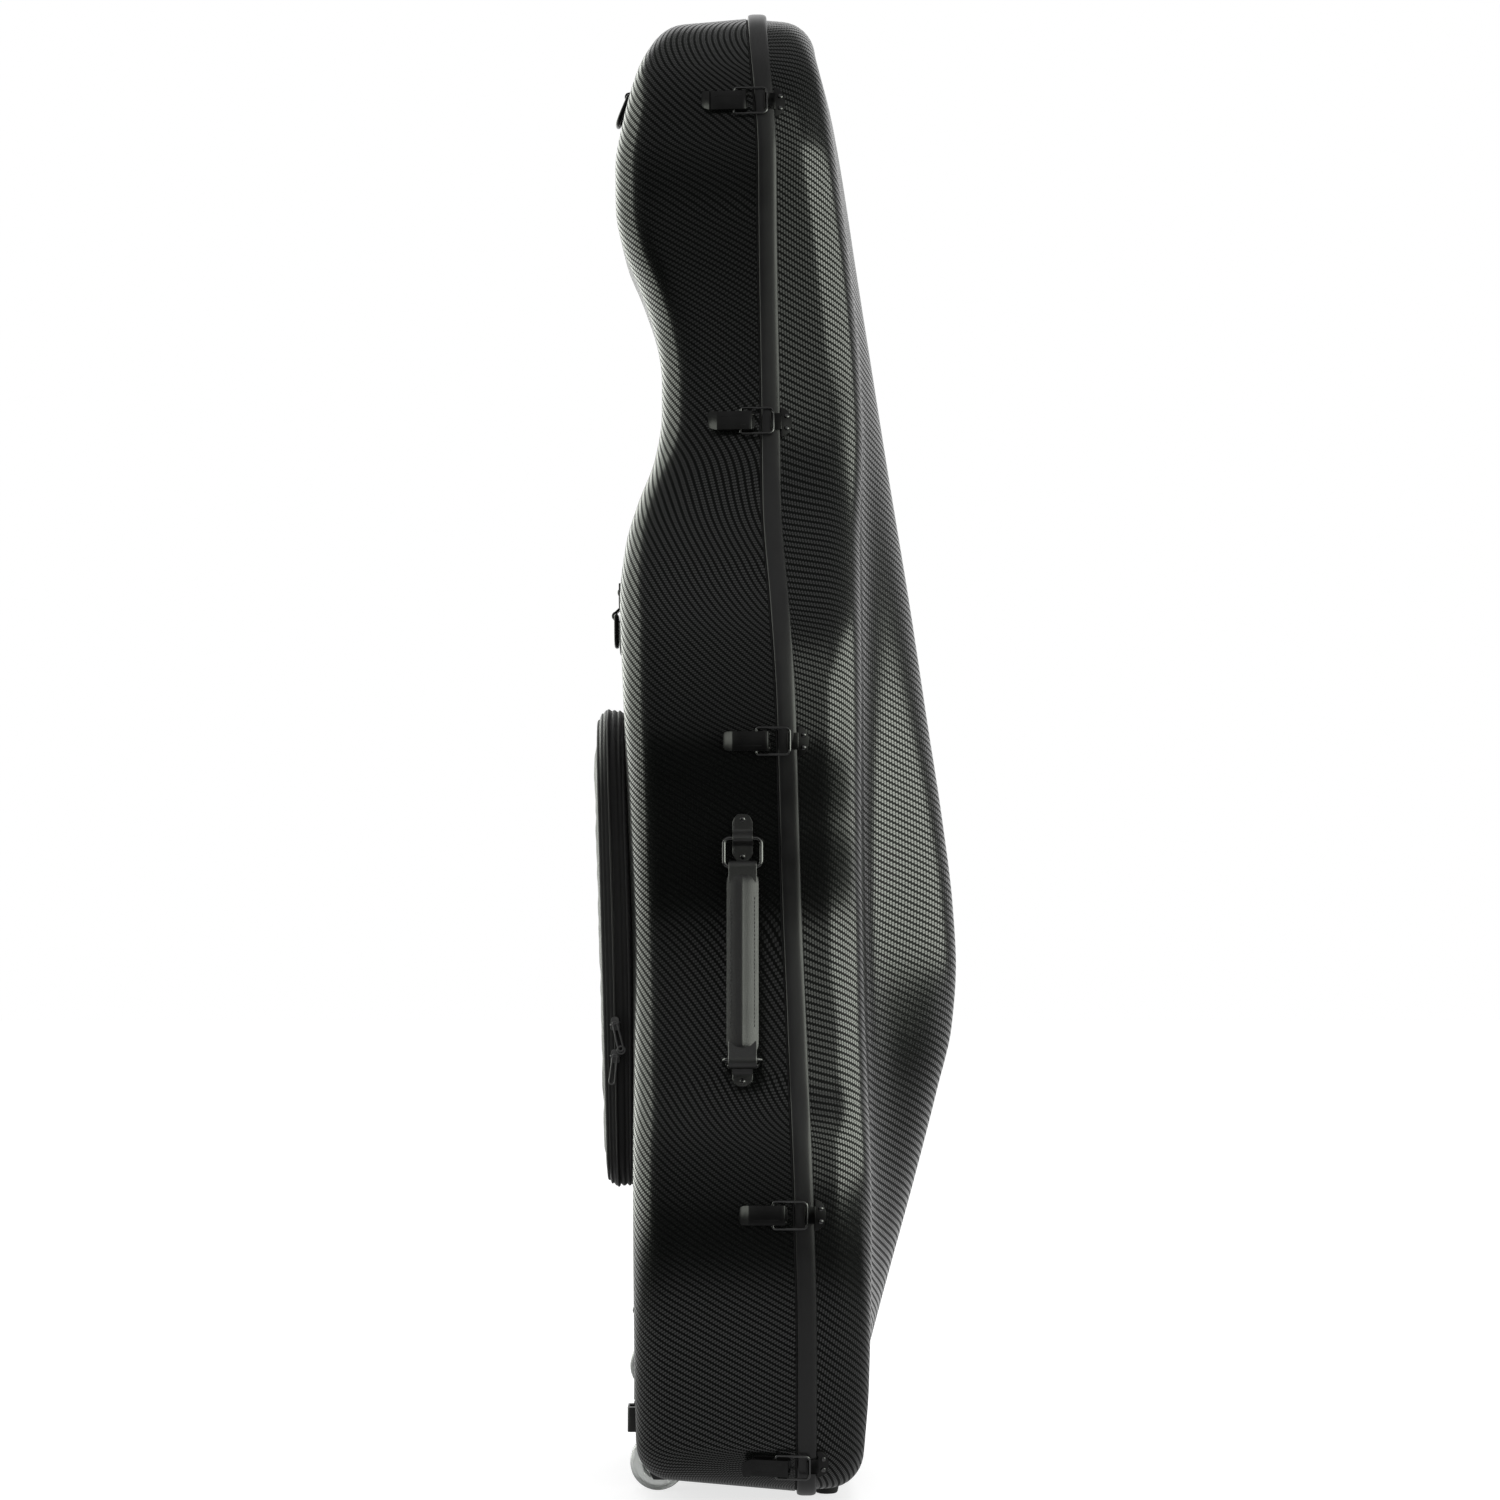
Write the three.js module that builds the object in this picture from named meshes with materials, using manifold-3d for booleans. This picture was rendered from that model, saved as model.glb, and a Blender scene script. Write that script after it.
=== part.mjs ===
// A cello hard case: two moulded twill shells that meet at a bead, standing upright on two
// wheels and two feet. Millimetres, +Z up. The back shell lies towards +Y and the lid towards
// -Y. Draw latches and the carry handle are on the -X side, and the hinges on the +X side.
import * as THREE from 'three';
import { mergeVertices } from 'three/addons/utils/BufferGeometryUtils.js';
import Module from 'manifold-3d';

// Overall sizes.
const caseHeight = 1343; // floor to the top of the rim trim
const floorClearance = 8; // floor to the underside of the shells
const backDepth = 146; // datum plane to the deepest place of the back shell
const lidDepth = 167; // datum plane to the crest of the lid's ridge
const partingSwing = 18; // how far the parting line wanders to either side of the datum plane

// Half widths of the outline as seen from the front.
const bottomHalf = 172;
const bottomCornerRadius = 60;
const lowerBoutHalf = 250;
const waistHalf = 188;
const upperBoutHalf = 203;
const neckHalf = 105;
const headHalf = 114;

// Walls.
const wallThickness = 2.4;
const linerThickness = 6;
const linerGap = 1.6;
const seatGap = 0.3; // between a piece and what it is seated on
const partingGap = 1.8; // between the rims, filled by the seal
const sideShoulderRadius = 40;
const endShoulderRadius = 32;
const draftAngle = THREE.MathUtils.degToRad(5);
const ridgeHalfWidth = 122;
const ridgeNeckHalfWidth = 96;
const spineEndLow = 120; // the crown lines run to a spine that stops short of either end
const spineEndHigh = 96;

// Rim trim and seal.
const beadWidth = 17;
const beadHeight = 4;
const beadEdgeHeight = 2.8;
const sealWidth = 1.8;
const sealInset = 0.6;

// Shares of the case height, bottom to top, with the shares of the depth reached there.
const partingShares = [
  [0, 0.89], [0.105, 0.89], [0.2, 0.73], [0.263, 0.55], [0.33, 0.36], [0.39, 0.18],
  [0.458, 0.03], [0.526, -0.12], [0.588, -0.41], [0.658, -0.79], [0.727, -0.85],
  [0.843, -0.99], [0.894, -1.02], [1, -1.52],
];
const backShares = [
  [0, 0.845], [0.1, 0.86], [0.32, 0.872], [0.46, 0.908], [0.54, 0.938], [0.597, 0.96],
  [0.63, 0.93], [0.66, 0.855], [0.69, 0.755], [0.722, 0.71], [0.745, 0.71], [0.775, 0.75],
  [0.806, 0.842], [0.835, 0.95], [0.862, 0.998], [0.889, 1], [0.92, 0.955], [0.951, 0.872],
  [1, 0.62],
];
const plateauShares = [
  [0, 0.43], [0.035, 0.462], [0.08, 0.487], [0.18, 0.5], [0.32, 0.475], [0.5, 0.455],
  [0.6, 0.455], [0.7, 0.45], [0.74, 0.435], [0.806, 0.4], [0.88, 0.335], [0.93, 0.275],
  [1, 0.145],
];
const crownShares = [
  [0, 0.43], [0.035, 0.462], [0.075, 0.49], [0.1, 0.545], [0.139, 0.631], [0.202, 0.77],
  [0.264, 0.898], [0.306, 0.976], [0.348, 1], [0.389, 0.982], [0.45, 0.922], [0.514, 0.843],
  [0.597, 0.742], [0.681, 0.631], [0.764, 0.525], [0.826, 0.446], [0.889, 0.368],
  [0.93, 0.307], [0.972, 0.218], [1, 0.155],
];
// Shares of the case height with the share of the half width between the sizes named there.
const boutShares = [
  [0.175, 0, lowerBoutHalf, waistHalf], [0.235, 0.1, lowerBoutHalf, waistHalf],
  [0.285, 0.5, lowerBoutHalf, waistHalf], [0.37, 1, lowerBoutHalf, waistHalf],
  [0.445, 0.45, waistHalf, upperBoutHalf], [0.514, 1, waistHalf, upperBoutHalf],
  [0.57, 0.14, upperBoutHalf, neckHalf], [0.622, 0.46, upperBoutHalf, neckHalf],
  [0.677, 0.78, upperBoutHalf, neckHalf], [0.735, 0.95, upperBoutHalf, neckHalf],
  [0.8, 1, upperBoutHalf, neckHalf], [0.855, 0.4, neckHalf, headHalf],
  [0.905, 1, neckHalf, headHalf],
];
const headTopShares = [[0.957, 0.9], [0.988, 0.56]]; // height share, share of headHalf

// How finely the shells are faceted.
const outlineSteps = 48;
const shoulderSteps = 3;
const plateauSteps = 5;
const plateauCrowding = 0.8; // draws the crown lines together towards the ridge
const linerShoulderSteps = 2;
const linerPlateauSteps = 3;
const turnWeight = 90; // length that one radian of turning counts for when the steps are shared out
const outlineSamples = 900;

// Latches.
const latchShares = [0.9285, 0.714, 0.4996, 0.1929, 0.03]; // of the case height
const latchHeights = latchShares.map((share) => share * caseHeight);
const latchWidth = 17;
const leverThickness = 1.2;
const leverReach = 39; // pin to the tip
const leverTipLength = 8;
const leverTipRise = 1.6;
const leverPinBehindRim = 6.5;
const bailPinBehindPin = 10;
const latchPinHeight = 4;
const latchPinRadius = 1.2;
const pinClearance = 0.4;
const bailWireRadius = 1.1;
const bailWidth = 23.6;
const bailReach = 29.5; // bail pin to the far bar
const bailCorner = 4;
const bailHeight = 6.7; // wire centre above the wall
const lugTailShare = 2.4; // how far a lug runs past the bail pin, in pin radii
const latchBaseThickness = 1.4;
const latchBaseReach = 38;
const earThickness = 1.4;
const lugThickness = 1.2;
const hookThickness = 1.1;
const hookRise = 8.8;
const catchRadius = 13.5;
const catchThickness = 1.3;
const catchReach = 10; // past the bead
const rivetRadius = 2.6;
const rivetRise = 1.3;
const rivetSpacing = 11;
const rivetMargin = 4.2; // rivet centre to a tab's end

// Hinges.
const hingeShares = [0.1653, 0.2517, 0.5093]; // of the case height
const hingeHeights = hingeShares.map((share) => share * caseHeight);
const hingeTangentShares = [0.216, 0.5227]; // where the straight axis passes closest to the shells
const hingeStandOff = 9;
const hingePinRadius = 1.8;
const knuckleRadius = 4;
const knuckleLength = 15;
const knuckleGap = 0.5;
const hingeLeafHeight = 60;
const hingeLeafWidth = 26;
const hingeLeafThickness = 1.8;
const hingeWebThickness = 3;
const hingeRivetShare = 0.6; // of the leaf's width
const hingeRivetSpread = 21.5; // rivet to the leaf's middle

// Carry handle.
const handleShares = [0.2874, 0.4363]; // lower and upper ring pins, of the case height
const handleHeights = handleShares.map((share) => share * caseHeight);
const handleBehindDatum = 30;
const handleRingReach = 25;
const handleRingWidth = 33;
const handleRingCorner = 5;
const handleWireRadius = 1.8;
const chapeWidth = 18;
const chapeLength = 42;
const lowerChapeBelow = 17.6; // how much of the lower tab lies below its ring
const chapeThickness = 2.2;
const chapeSaddleRadius = 4.4;
const lowerRingRest = THREE.MathUtils.degToRad(80);
const gripHalfWidth = 14;
const gripHalfThickness = 6;
const gripEndHalfWidth = 8.5;
const gripEndHalfThickness = 3.2;
const gripLoopRadius = 5;
const gripOpenBore = 5.4; // the open pivot, where the linkage is cut
const gripOpenLoopRadius = 7.4;
const gripOpenTrim = 1.2;
// Distance share along the grip, share of the swell from the end to the full section.
const gripShares = [[0.05, 0], [0.09, 0.55], [0.14, 1], [0.5, 1], [0.86, 1], [0.91, 0.55], [0.95, 0]];

// Strap anchors on the back.
const anchorHeadHeight = caseHeight * 0.9434;
const anchorUpperHeight = caseHeight * 0.5853;
const anchorUpperSpread = 82;
const anchorPlateWidth = 24;
const anchorPlateLength = 34;
const anchorPlateThickness = 2;
const anchorRingWidth = 34;
const anchorRingReach = 27;
const anchorWireRadius = 2;
const anchorSaddleRadius = 4.2;
const anchorRivetRises = [14.3, 23.8];
const anchorRingCorner = 11.25;

// Wheels, their carriers and the feet.
const wheelRadius = 25;
const wheelWidth = 24;
const wheelEdge = 4;
const wheelSunk = 40; // axle to the depth of the back shell
const wheelBehindDatum = backDepth - wheelSunk;
const wheelInset = 64; // from the half width of the bottom
const wheelSpread = bottomHalf - wheelInset;
const wheelRise = 87; // lower axle to upper axle
const axleRadius = 3;
const wheelRunning = 2.6; // room round a wheel in its well
const wellWall = 2;
const carrierPlate = 1.5;
const carrierMargin = 8;
const carrierTop = 60; // above the upper axle
const strapBarShare = 0.45; // of the way from the lower to the upper axle
const strapBarHeight = 22;
const strapBarProud = 7.5;
const strapSlotDepth = 6;
const footRadius = 10;
const footTopRadius = 12;
const footInset = 42; // from the half width of the bottom
const footSpread = bottomHalf - footInset;
const footBeforeDatum = 45;
const footSeat = 16;

// Pocket on the back.
const pocketBottom = caseHeight * 0.2025;
const pocketTop = caseHeight * 0.5227;
const pocketInset = 53; // from the half width of the waist
const pocketHalfWidth = waistHalf - pocketInset;
const pocketThickness = 37;
const pocketTopRadius = 70;
const pocketBottomRadius = 34;
const pocketEdge = 9;
const pocketProud = 17; // how far its outer face at the top stands behind the back shell's depth
const pocketBehindDatum = backDepth + pocketProud;
const pocketLean = THREE.MathUtils.degToRad(1.5);
const pocketClear = 0.8;

// Zip sliders on the pocket's gusset.
const sliderRises = [148, 119]; // above the pocket's bottom
const sliderLength = 12;
const sliderWidth = 9;
const sliderThickness = 3.6;
const sliderInset = 19; // from the pocket's outer face at the top
const pullLength = 25;
const pullWidth = 5;
const pullThickness = 1.6;
const pullLean = [THREE.MathUtils.degToRad(12), THREE.MathUtils.degToRad(-8)];
const pullEyeRadius = 2.2;
const bridgeRadius = 0.9;

// Inside.
const cradleHeight = caseHeight * 0.7565;
const cradleLength = 90;
const cradleHalfWidth = 58;
const cradleFront = 26; // behind the datum plane
const neckRadius = 27;
const strapWidth = 32;
const strapThickness = 2.2;
const endpinBlockHeight = 46;
const endpinBlockHalf = 42;
const endpinBlockDepth = 70;
const endpinRadius = 9;

const overrun = 5; // how far a cutting solid passes through
const wireSides = 8;
const thinSides = 6;
const pinSides = 8;
const roundSides = 14;
const wheelSides = 16;
const footSides = 20;

const wasm = await Module();
wasm.setup();

const finish = (color, roughness, metalness) => () =>
  new THREE.MeshStandardMaterial({ color, roughness, metalness });
const twill = finish(0x1c1f1d, 0.38, 0.1);
const beadBlack = finish(0x1b1d1b, 0.45, 0);
const rubber = finish(0x101010, 0.85, 0);
const plush = finish(0x2a2c30, 0.95, 0);
const blackMetal = finish(0x101213, 0.35, 0.8);
const leather = finish(0x171716, 0.6, 0);
const wheelClear = finish(0xaab0ac, 0.25, 0);
const plastic = finish(0x151616, 0.5, 0);
const fabric = finish(0x121213, 0.9, 0);

const caseGroup = new THREE.Group();

// Adds a named mesh to a group, and returns it.
function addPiece(group, name, geometry, material) {
  const mesh = new THREE.Mesh(geometry, material());
  mesh.name = name;
  group.add(mesh);
  return mesh;
}

// Welds a geometry and turns it into a solid, faces outwards.
function solidFrom(geometry) {
  const bare = geometry.clone();
  bare.deleteAttribute('normal');
  bare.deleteAttribute('uv');
  const welded = mergeVertices(bare, caseHeight * 1e-7);
  const corners = welded.index.array;
  const kept = [];
  for (let i = 0; i < corners.length; i += 3) {
    const [a, b, c] = [corners[i], corners[i + 1], corners[i + 2]];
    if (a !== b && b !== c && c !== a) kept.push(a, b, c);
  }
  const make = (triangles) => new wasm.Manifold(new wasm.Mesh({
    numProp: 3,
    vertProperties: new Float32Array(welded.attributes.position.array),
    triVerts: new Uint32Array(triangles),
  }));
  const solid = make(kept);
  return solid.volume() < 0 ? make(kept.reverse()) : solid;
}

// Turns a solid back into a geometry.
function geometryFrom(solid) {
  const mesh = solid.getMesh();
  const geometry = new THREE.BufferGeometry();
  geometry.setAttribute('position', new THREE.BufferAttribute(mesh.vertProperties, mesh.numProp));
  geometry.setIndex(new THREE.BufferAttribute(mesh.triVerts, 1));
  geometry.computeVertexNormals();
  return geometry;
}

// The solid of a geometry placed by a matrix.
function placed(geometry, matrix) {
  return solidFrom(geometry.clone().applyMatrix4(matrix));
}

const moved = (x, y, z) => new THREE.Matrix4().makeTranslation(x, y, z);
const joined = (solids) => solids.reduce((sum, solid) => sum.add(solid));

// A box between two corners, as a solid.
function boxSolid(low, high) {
  const size = high.clone().sub(low);
  const centre = high.clone().add(low).multiplyScalar(0.5);
  return placed(new THREE.BoxGeometry(size.x, size.y, size.z), moved(centre.x, centre.y, centre.z));
}

// A cylinder along an axis, centred on a point, as a solid.
function rodSolid(centre, axis, length, radius, sides, farRadius = radius) {
  const turn = new THREE.Quaternion().setFromUnitVectors(new THREE.Vector3(0, 1, 0), axis);
  const matrix = new THREE.Matrix4().compose(centre, turn, new THREE.Vector3(1, 1, 1));
  return placed(new THREE.CylinderGeometry(farRadius, radius, length, sides), matrix);
}

// A low domed rivet head standing on the plane x = base, facing +X.
function rivetSolid(base, y, z, radius, rise) {
  const dome = new THREE.SphereGeometry(1, pinSides, 2, 0, Math.PI * 2, 0, Math.PI / 2);
  const lid = new THREE.CircleGeometry(1, pinSides).rotateX(Math.PI / 2);
  const points = [dome, lid].map((part) => part.toNonIndexed().attributes.position.array);
  const whole = new THREE.BufferGeometry();
  const flat = new Float32Array(points[0].length + points[1].length);
  flat.set(points[0]);
  flat.set(points[1], points[0].length);
  whole.setAttribute('position', new THREE.BufferAttribute(flat, 3));
  whole.scale(radius, rise, radius).rotateZ(-Math.PI / 2).translate(base, y, z);
  return solidFrom(whole);
}

// A closed body through rings of points: each ring closes on itself, and the ends are capped
// or the last ring meets the first.
function loftGeometry(rings, endless) {
  const count = rings[0].length;
  const points = rings.flat();
  const triangles = [];
  const spans = endless ? rings.length : rings.length - 1;
  for (let r = 0; r < spans; r += 1) {
    const here = r * count;
    const next = ((r + 1) % rings.length) * count;
    for (let i = 0; i < count; i += 1) {
      const j = (i + 1) % count;
      triangles.push(here + i, here + j, next + j, here + i, next + j, next + i);
    }
  }
  if (!endless) {
    const last = (rings.length - 1) * count;
    for (let i = 1; i < count - 1; i += 1) {
      triangles.push(0, i + 1, i, last, last + i, last + i + 1);
    }
  }
  const geometry = new THREE.BufferGeometry().setFromPoints(points);
  geometry.setIndex(triangles);
  return geometry;
}

// A line through points that an extrusion steps along one by one.
class BentLine extends THREE.Curve {
  constructor(points) {
    super();
    this.points = points;
  }

  getPoint(t) {
    const place = t * (this.points.length - 1);
    const i = Math.min(Math.floor(place), this.points.length - 2);
    return this.points[i].clone().lerp(this.points[i + 1], place - i);
  }

  getUtoTmapping(u) {
    return u;
  }
}

// A wire with square ends along a line of points.
function wireGeometry(points, radius, sides) {
  const section = new THREE.Shape();
  for (let i = 0; i < sides; i += 1) {
    const angle = (Math.PI * 2 * i) / sides;
    const step = i ? 'lineTo' : 'moveTo';
    section[step](radius * Math.cos(angle), radius * Math.sin(angle));
  }
  return new THREE.ExtrudeGeometry(section, {
    steps: points.length - 1,
    curveSegments: 1,
    extrudePath: new BentLine(points),
  });
}

// Points round a corner between two directions in a plane.
function cornerPoints(centre, radius, from, to, steps) {
  return Array.from({ length: steps + 1 }, (_, i) => {
    const angle = from + ((to - from) * i) / steps;
    return new THREE.Vector2(centre.x + radius * Math.cos(angle), centre.y + radius * Math.sin(angle));
  });
}

// A rounded rectangle, anticlockwise, from its corner centres.
function roundedRectangle(halfX, lowY, highY, radius, steps) {
  const corners = [[1, highY, 0], [-1, highY, 1], [-1, lowY, 2], [1, lowY, 3]];
  return corners.flatMap(([side, edge, quarter]) => {
    const inward = edge === highY ? -radius : radius;
    const centre = new THREE.Vector2(side * (halfX - radius), edge + inward);
    const start = (quarter * Math.PI) / 2;
    return cornerPoints(centre, radius, start, start + Math.PI / 2, steps);
  });
}

// A closed wire ring in the plane x = 0, from an outline in y and z.
function ringGeometry(outline, radius, sides) {
  const count = outline.length;
  const rings = outline.map((point, i) => {
    const before = outline[(i + count - 1) % count];
    const after = outline[(i + 1) % count];
    const along = after.clone().sub(before).normalize();
    return Array.from({ length: sides }, (_, k) => {
      const angle = (Math.PI * 2 * k) / sides;
      const across = radius * Math.cos(angle);
      return new THREE.Vector3(
        radius * Math.sin(angle),
        point.x + along.y * across,
        point.y - along.x * across,
      );
    });
  });
  return geometryFrom(solidFrom(loftGeometry(rings, true)));
}

// A smooth curve through stations [place, value], without overshoot.
function smoothThrough(stations) {
  const slopes = stations.map((station, i) => {
    const before = stations[i - 1];
    const after = stations[i + 1];
    if (!before || !after) return 0;
    const low = (station[1] - before[1]) / (station[0] - before[0]);
    const high = (after[1] - station[1]) / (after[0] - station[0]);
    return low * high <= 0 ? 0 : (2 * low * high) / (low + high);
  });
  return (place) => {
    const last = stations.length - 1;
    const at = THREE.MathUtils.clamp(place, stations[0][0], stations[last][0]);
    const i = Math.min(stations.findLastIndex((station) => station[0] <= at), last - 1);
    const span = stations[i + 1][0] - stations[i][0];
    const t = (at - stations[i][0]) / span;
    const rise = stations[i + 1][1] - stations[i][1];
    const hump = slopes[i] * span * t * (1 - t) * (1 - t);
    const dip = slopes[i + 1] * span * t * t * (1 - t);
    return stations[i][1] + rise * t * t * (3 - 2 * t) + hump - dip;
  };
}

const partingCurve = smoothThrough(partingShares);
const backCurve = smoothThrough(backShares);
const plateauCurve = smoothThrough(plateauShares);
const crownCurve = smoothThrough(crownShares);

// Depths are measured from the datum plane, positive towards the lid.
const partingDepth = (z) => partingSwing * partingCurve(z / caseHeight);
const backSurface = (x, z) => -backDepth * backCurve(z / caseHeight);

function lidSurface(x, z) {
  const share = z / caseHeight;
  const plateau = lidDepth * plateauCurve(share);
  const crown = lidDepth * crownCurve(share);
  const neckness = THREE.MathUtils.smoothstep(share, 0.5, 0.75);
  const reach = THREE.MathUtils.lerp(ridgeHalfWidth, ridgeNeckHalfWidth, neckness);
  const across = Math.min(Math.abs(x) / reach, 1);
  const swell = 0.5 + 0.5 * Math.cos(Math.PI * across);
  return plateau + (crown - plateau) * swell;
}

// The outline seen from the front: bottom centre, up the +X side to the top centre.
function outlineCurve() {
  const bottom = floorClearance;
  const half = [new THREE.Vector3(0, 0, bottom), new THREE.Vector3(bottomHalf, 0, bottom)];
  const cornerCentre = new THREE.Vector2(bottomHalf, bottom + bottomCornerRadius);
  cornerPoints(cornerCentre, bottomCornerRadius, -Math.PI / 3, 0, 2).forEach((point) => {
    half.push(new THREE.Vector3(point.x, 0, point.y));
  });
  boutShares.forEach(([height, share, from, to]) => {
    half.push(new THREE.Vector3(THREE.MathUtils.lerp(from, to, share), 0, height * caseHeight));
  });
  headTopShares.forEach(([height, share]) => {
    half.push(new THREE.Vector3(headHalf * share, 0, height * caseHeight));
  });
  const crown = caseHeight - beadHeight;
  const other = half.slice(1).reverse().map((point) => new THREE.Vector3(-point.x, 0, point.z));
  return new THREE.CatmullRomCurve3([...half, new THREE.Vector3(0, 0, crown), ...other], true);
}

// Points round the outline with their outward normals, closer together where it turns.
function outlinePoints() {
  const fine = outlineCurve().getPoints(outlineSamples).slice(0, outlineSamples / 2 + 1);
  fine[0].x = 0;
  fine[fine.length - 1].x = 0;
  const reach = [0];
  for (let i = 1; i < fine.length; i += 1) {
    const step = fine[i].clone().sub(fine[i - 1]);
    const next = fine[Math.min(i + 1, fine.length - 1)].clone().sub(fine[i]);
    const turn = next.lengthSq() > 0 ? step.angleTo(next) : 0;
    reach.push(reach[i - 1] + step.length() + turnWeight * turn);
  }
  const half = outlineSteps / 2;
  const side = [];
  let k = 0;
  for (let i = 0; i <= half; i += 1) {
    const wanted = (reach[reach.length - 1] * i) / half;
    while (k < reach.length - 2 && reach[k + 1] < wanted) k += 1;
    const t = (wanted - reach[k]) / (reach[k + 1] - reach[k]);
    side.push(fine[k].clone().lerp(fine[k + 1], Math.min(t, 1)));
  }
  side[0].x = 0;
  side[half].x = 0;
  const other = side.slice(1, half).reverse().map((p) => new THREE.Vector3(-p.x, 0, p.z));
  const all = [...side, ...other];
  return all.map((point, i) => {
    const before = all[(i + all.length - 1) % all.length];
    const after = all[(i + 1) % all.length];
    const along = after.clone().sub(before).normalize();
    const normal = new THREE.Vector3(along.z, 0, -along.x);
    if (i === 0 || i === half) normal.x = 0;
    return { point, normal };
  });
}

const outline = outlinePoints();

// The place, normal and upward tangent of the wall at a height, on the +X or the -X side.
function wallAt(height, side) {
  const half = outlineSteps / 2;
  let i = 1;
  while (i < half - 1 && outline[i + 1].point.z < height) i += 1;
  const [low, high] = [outline[i], outline[i + 1]];
  const t = (height - low.point.z) / (high.point.z - low.point.z);
  const point = low.point.clone().lerp(high.point, t);
  const normal = low.normal.clone().lerp(high.normal, t).normalize();
  point.x *= side;
  normal.x *= side;
  return { point, normal };
}

// How far the wall bulges past its own tangent plane within a reach up and down.
function wallBulge(height, side, reach) {
  const { point, normal } = wallAt(height, side);
  const bulges = outline.map((place) => {
    const apart = place.point.clone().sub(point).setY(0);
    return place.point.x * side > 0 && apart.length() < reach ? apart.dot(normal) : 0;
  });
  return Math.max(...bulges);
}

// A matrix whose x axis is a wall's normal and whose y axis points towards the lid.
function wallMatrix(height, side, depth) {
  const { point, normal } = wallAt(height, side);
  const front = new THREE.Vector3(0, -1, 0);
  const up = normal.clone().cross(front);
  point.y = -depth;
  return new THREE.Matrix4().makeBasis(normal, front, up).setPosition(point);
}

const backSide = { sign: -1, surface: backSurface };
const lidSide = { sign: 1, surface: lidSurface };

// Rings of points over one shell's skin, moved inwards, from the rim to the spine.
function skinRings(side, inset, rimLift, shoulderCount, plateauCount) {
  const bottom = floorClearance;
  const columns = outline.map(({ point, normal }) => {
    const edge = point.clone().addScaledVector(normal, -inset);
    const endness = normal.z * normal.z;
    const radius = THREE.MathUtils.lerp(sideShoulderRadius, endShoulderRadius, endness) - inset;
    const rim = partingDepth(edge.z) + side.sign * rimLift;
    const topOf = (place) => side.surface(place.x, place.z) - side.sign * inset;
    const upright = point.clone();
    let reach = radius;
    let height = 0;
    for (let pass = 0; pass < 4; pass += 1) {
      upright.copy(edge).addScaledVector(normal, -reach);
      height = side.sign * (topOf(upright) - rim);
      const centreHeight = height - radius + radius * Math.sin(draftAngle);
      reach = radius * Math.cos(draftAngle) + Math.tan(draftAngle) * centreHeight;
    }
    const at = (inward, up) => {
      const place = edge.clone().addScaledVector(normal, -inward);
      place.y = -(rim + side.sign * up);
      return place;
    };
    const column = [at(0, 0)];
    for (let i = 0; i <= shoulderCount; i += 1) {
      const angle = THREE.MathUtils.lerp(draftAngle, Math.PI / 2, i / shoulderCount);
      column.push(at(reach - radius * Math.cos(angle), height - radius + radius * Math.sin(angle)));
    }
    const edgeOfCrown = edge.clone().addScaledVector(normal, -reach);
    const spineZ = THREE.MathUtils.clamp(edgeOfCrown.z, bottom + spineEndLow, caseHeight - spineEndHigh);
    const spine = new THREE.Vector3(0, 0, spineZ);
    for (let i = 1; i <= plateauCount; i += 1) {
      const share = (i / plateauCount) ** plateauCrowding;
      const place = edgeOfCrown.clone().lerp(spine, share);
      place.y = -topOf(place);
      column.push(place);
    }
    return column;
  });
  return columns[0].map((_, r) => columns.map((column) => column[r]));
}

// Triangles between rings of points that each hold the same number of points.
function ringTriangles(ringCount, count, offset, flipped) {
  const triangles = [];
  for (let r = 0; r < ringCount - 1; r += 1) {
    for (let i = 0; i < count; i += 1) {
      const j = (i + 1) % count;
      const [a, b] = [offset + r * count + i, offset + r * count + j];
      const [c, d] = [a + count, b + count];
      triangles.push(...(flipped ? [a, d, b, a, c, d] : [a, b, d, a, d, c]));
    }
  }
  return triangles;
}

// A shell between two skins that share their number of rings.
function shellGeometry(outer, inner) {
  const count = outer[0].length;
  const size = outer.length * count;
  const triangles = [
    ...ringTriangles(outer.length, count, 0, false),
    ...ringTriangles(inner.length, count, size, true),
  ];
  for (let i = 0; i < count; i += 1) {
    const j = (i + 1) % count;
    triangles.push(i, size + j, j, i, size + i, size + j);
  }
  const geometry = new THREE.BufferGeometry().setFromPoints([...outer.flat(), ...inner.flat()]);
  geometry.setIndex(triangles);
  return geometry;
}

// Everything inside one shell's outer skin grown outwards, up to the parting surface.
function hullSolid(side, grow) {
  const rings = skinRings(side, -grow, 0, shoulderSteps, plateauSteps);
  const count = rings[0].length;
  const triangles = ringTriangles(rings.length, count, 0, false);
  for (let i = 0; i < count / 2; i += 1) {
    const [a, b] = [i, i + 1];
    const [c, d] = [(count - i) % count, count - i - 1];
    triangles.push(a, d, b, a, c, d);
  }
  const geometry = new THREE.BufferGeometry().setFromPoints(rings.flat());
  geometry.setIndex(triangles);
  return solidFrom(geometry);
}

const backSeat = hullSolid(backSide, seatGap);

// A band that follows the rim: a section of [outwards, towards the lid] points.
function rimBand(section) {
  const rings = outline.map(({ point, normal }) => section.map(([outwards, depth]) => {
    const place = point.clone().addScaledVector(normal, outwards);
    place.y = -(partingDepth(point.z) + depth);
    return place;
  }));
  return solidFrom(loftGeometry(rings, true));
}

// The bead's section, with some room round it and its root sunk into the wall.
function beadSection(room, root) {
  const near = partingGap - room;
  const far = partingGap + beadWidth + room;
  const lean = Math.tan(draftAngle) * beadWidth;
  const top = beadHeight + room;
  const edge = beadEdgeHeight + room;
  return [
    [seatGap - root, near], [edge, near], [top, near + beadEdgeHeight / 2], [top, near + beadWidth / 2],
    [edge, far - beadEdgeHeight / 2], [seatGap * 2 + room, far], [seatGap - lean - root, far],
  ];
}

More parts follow.
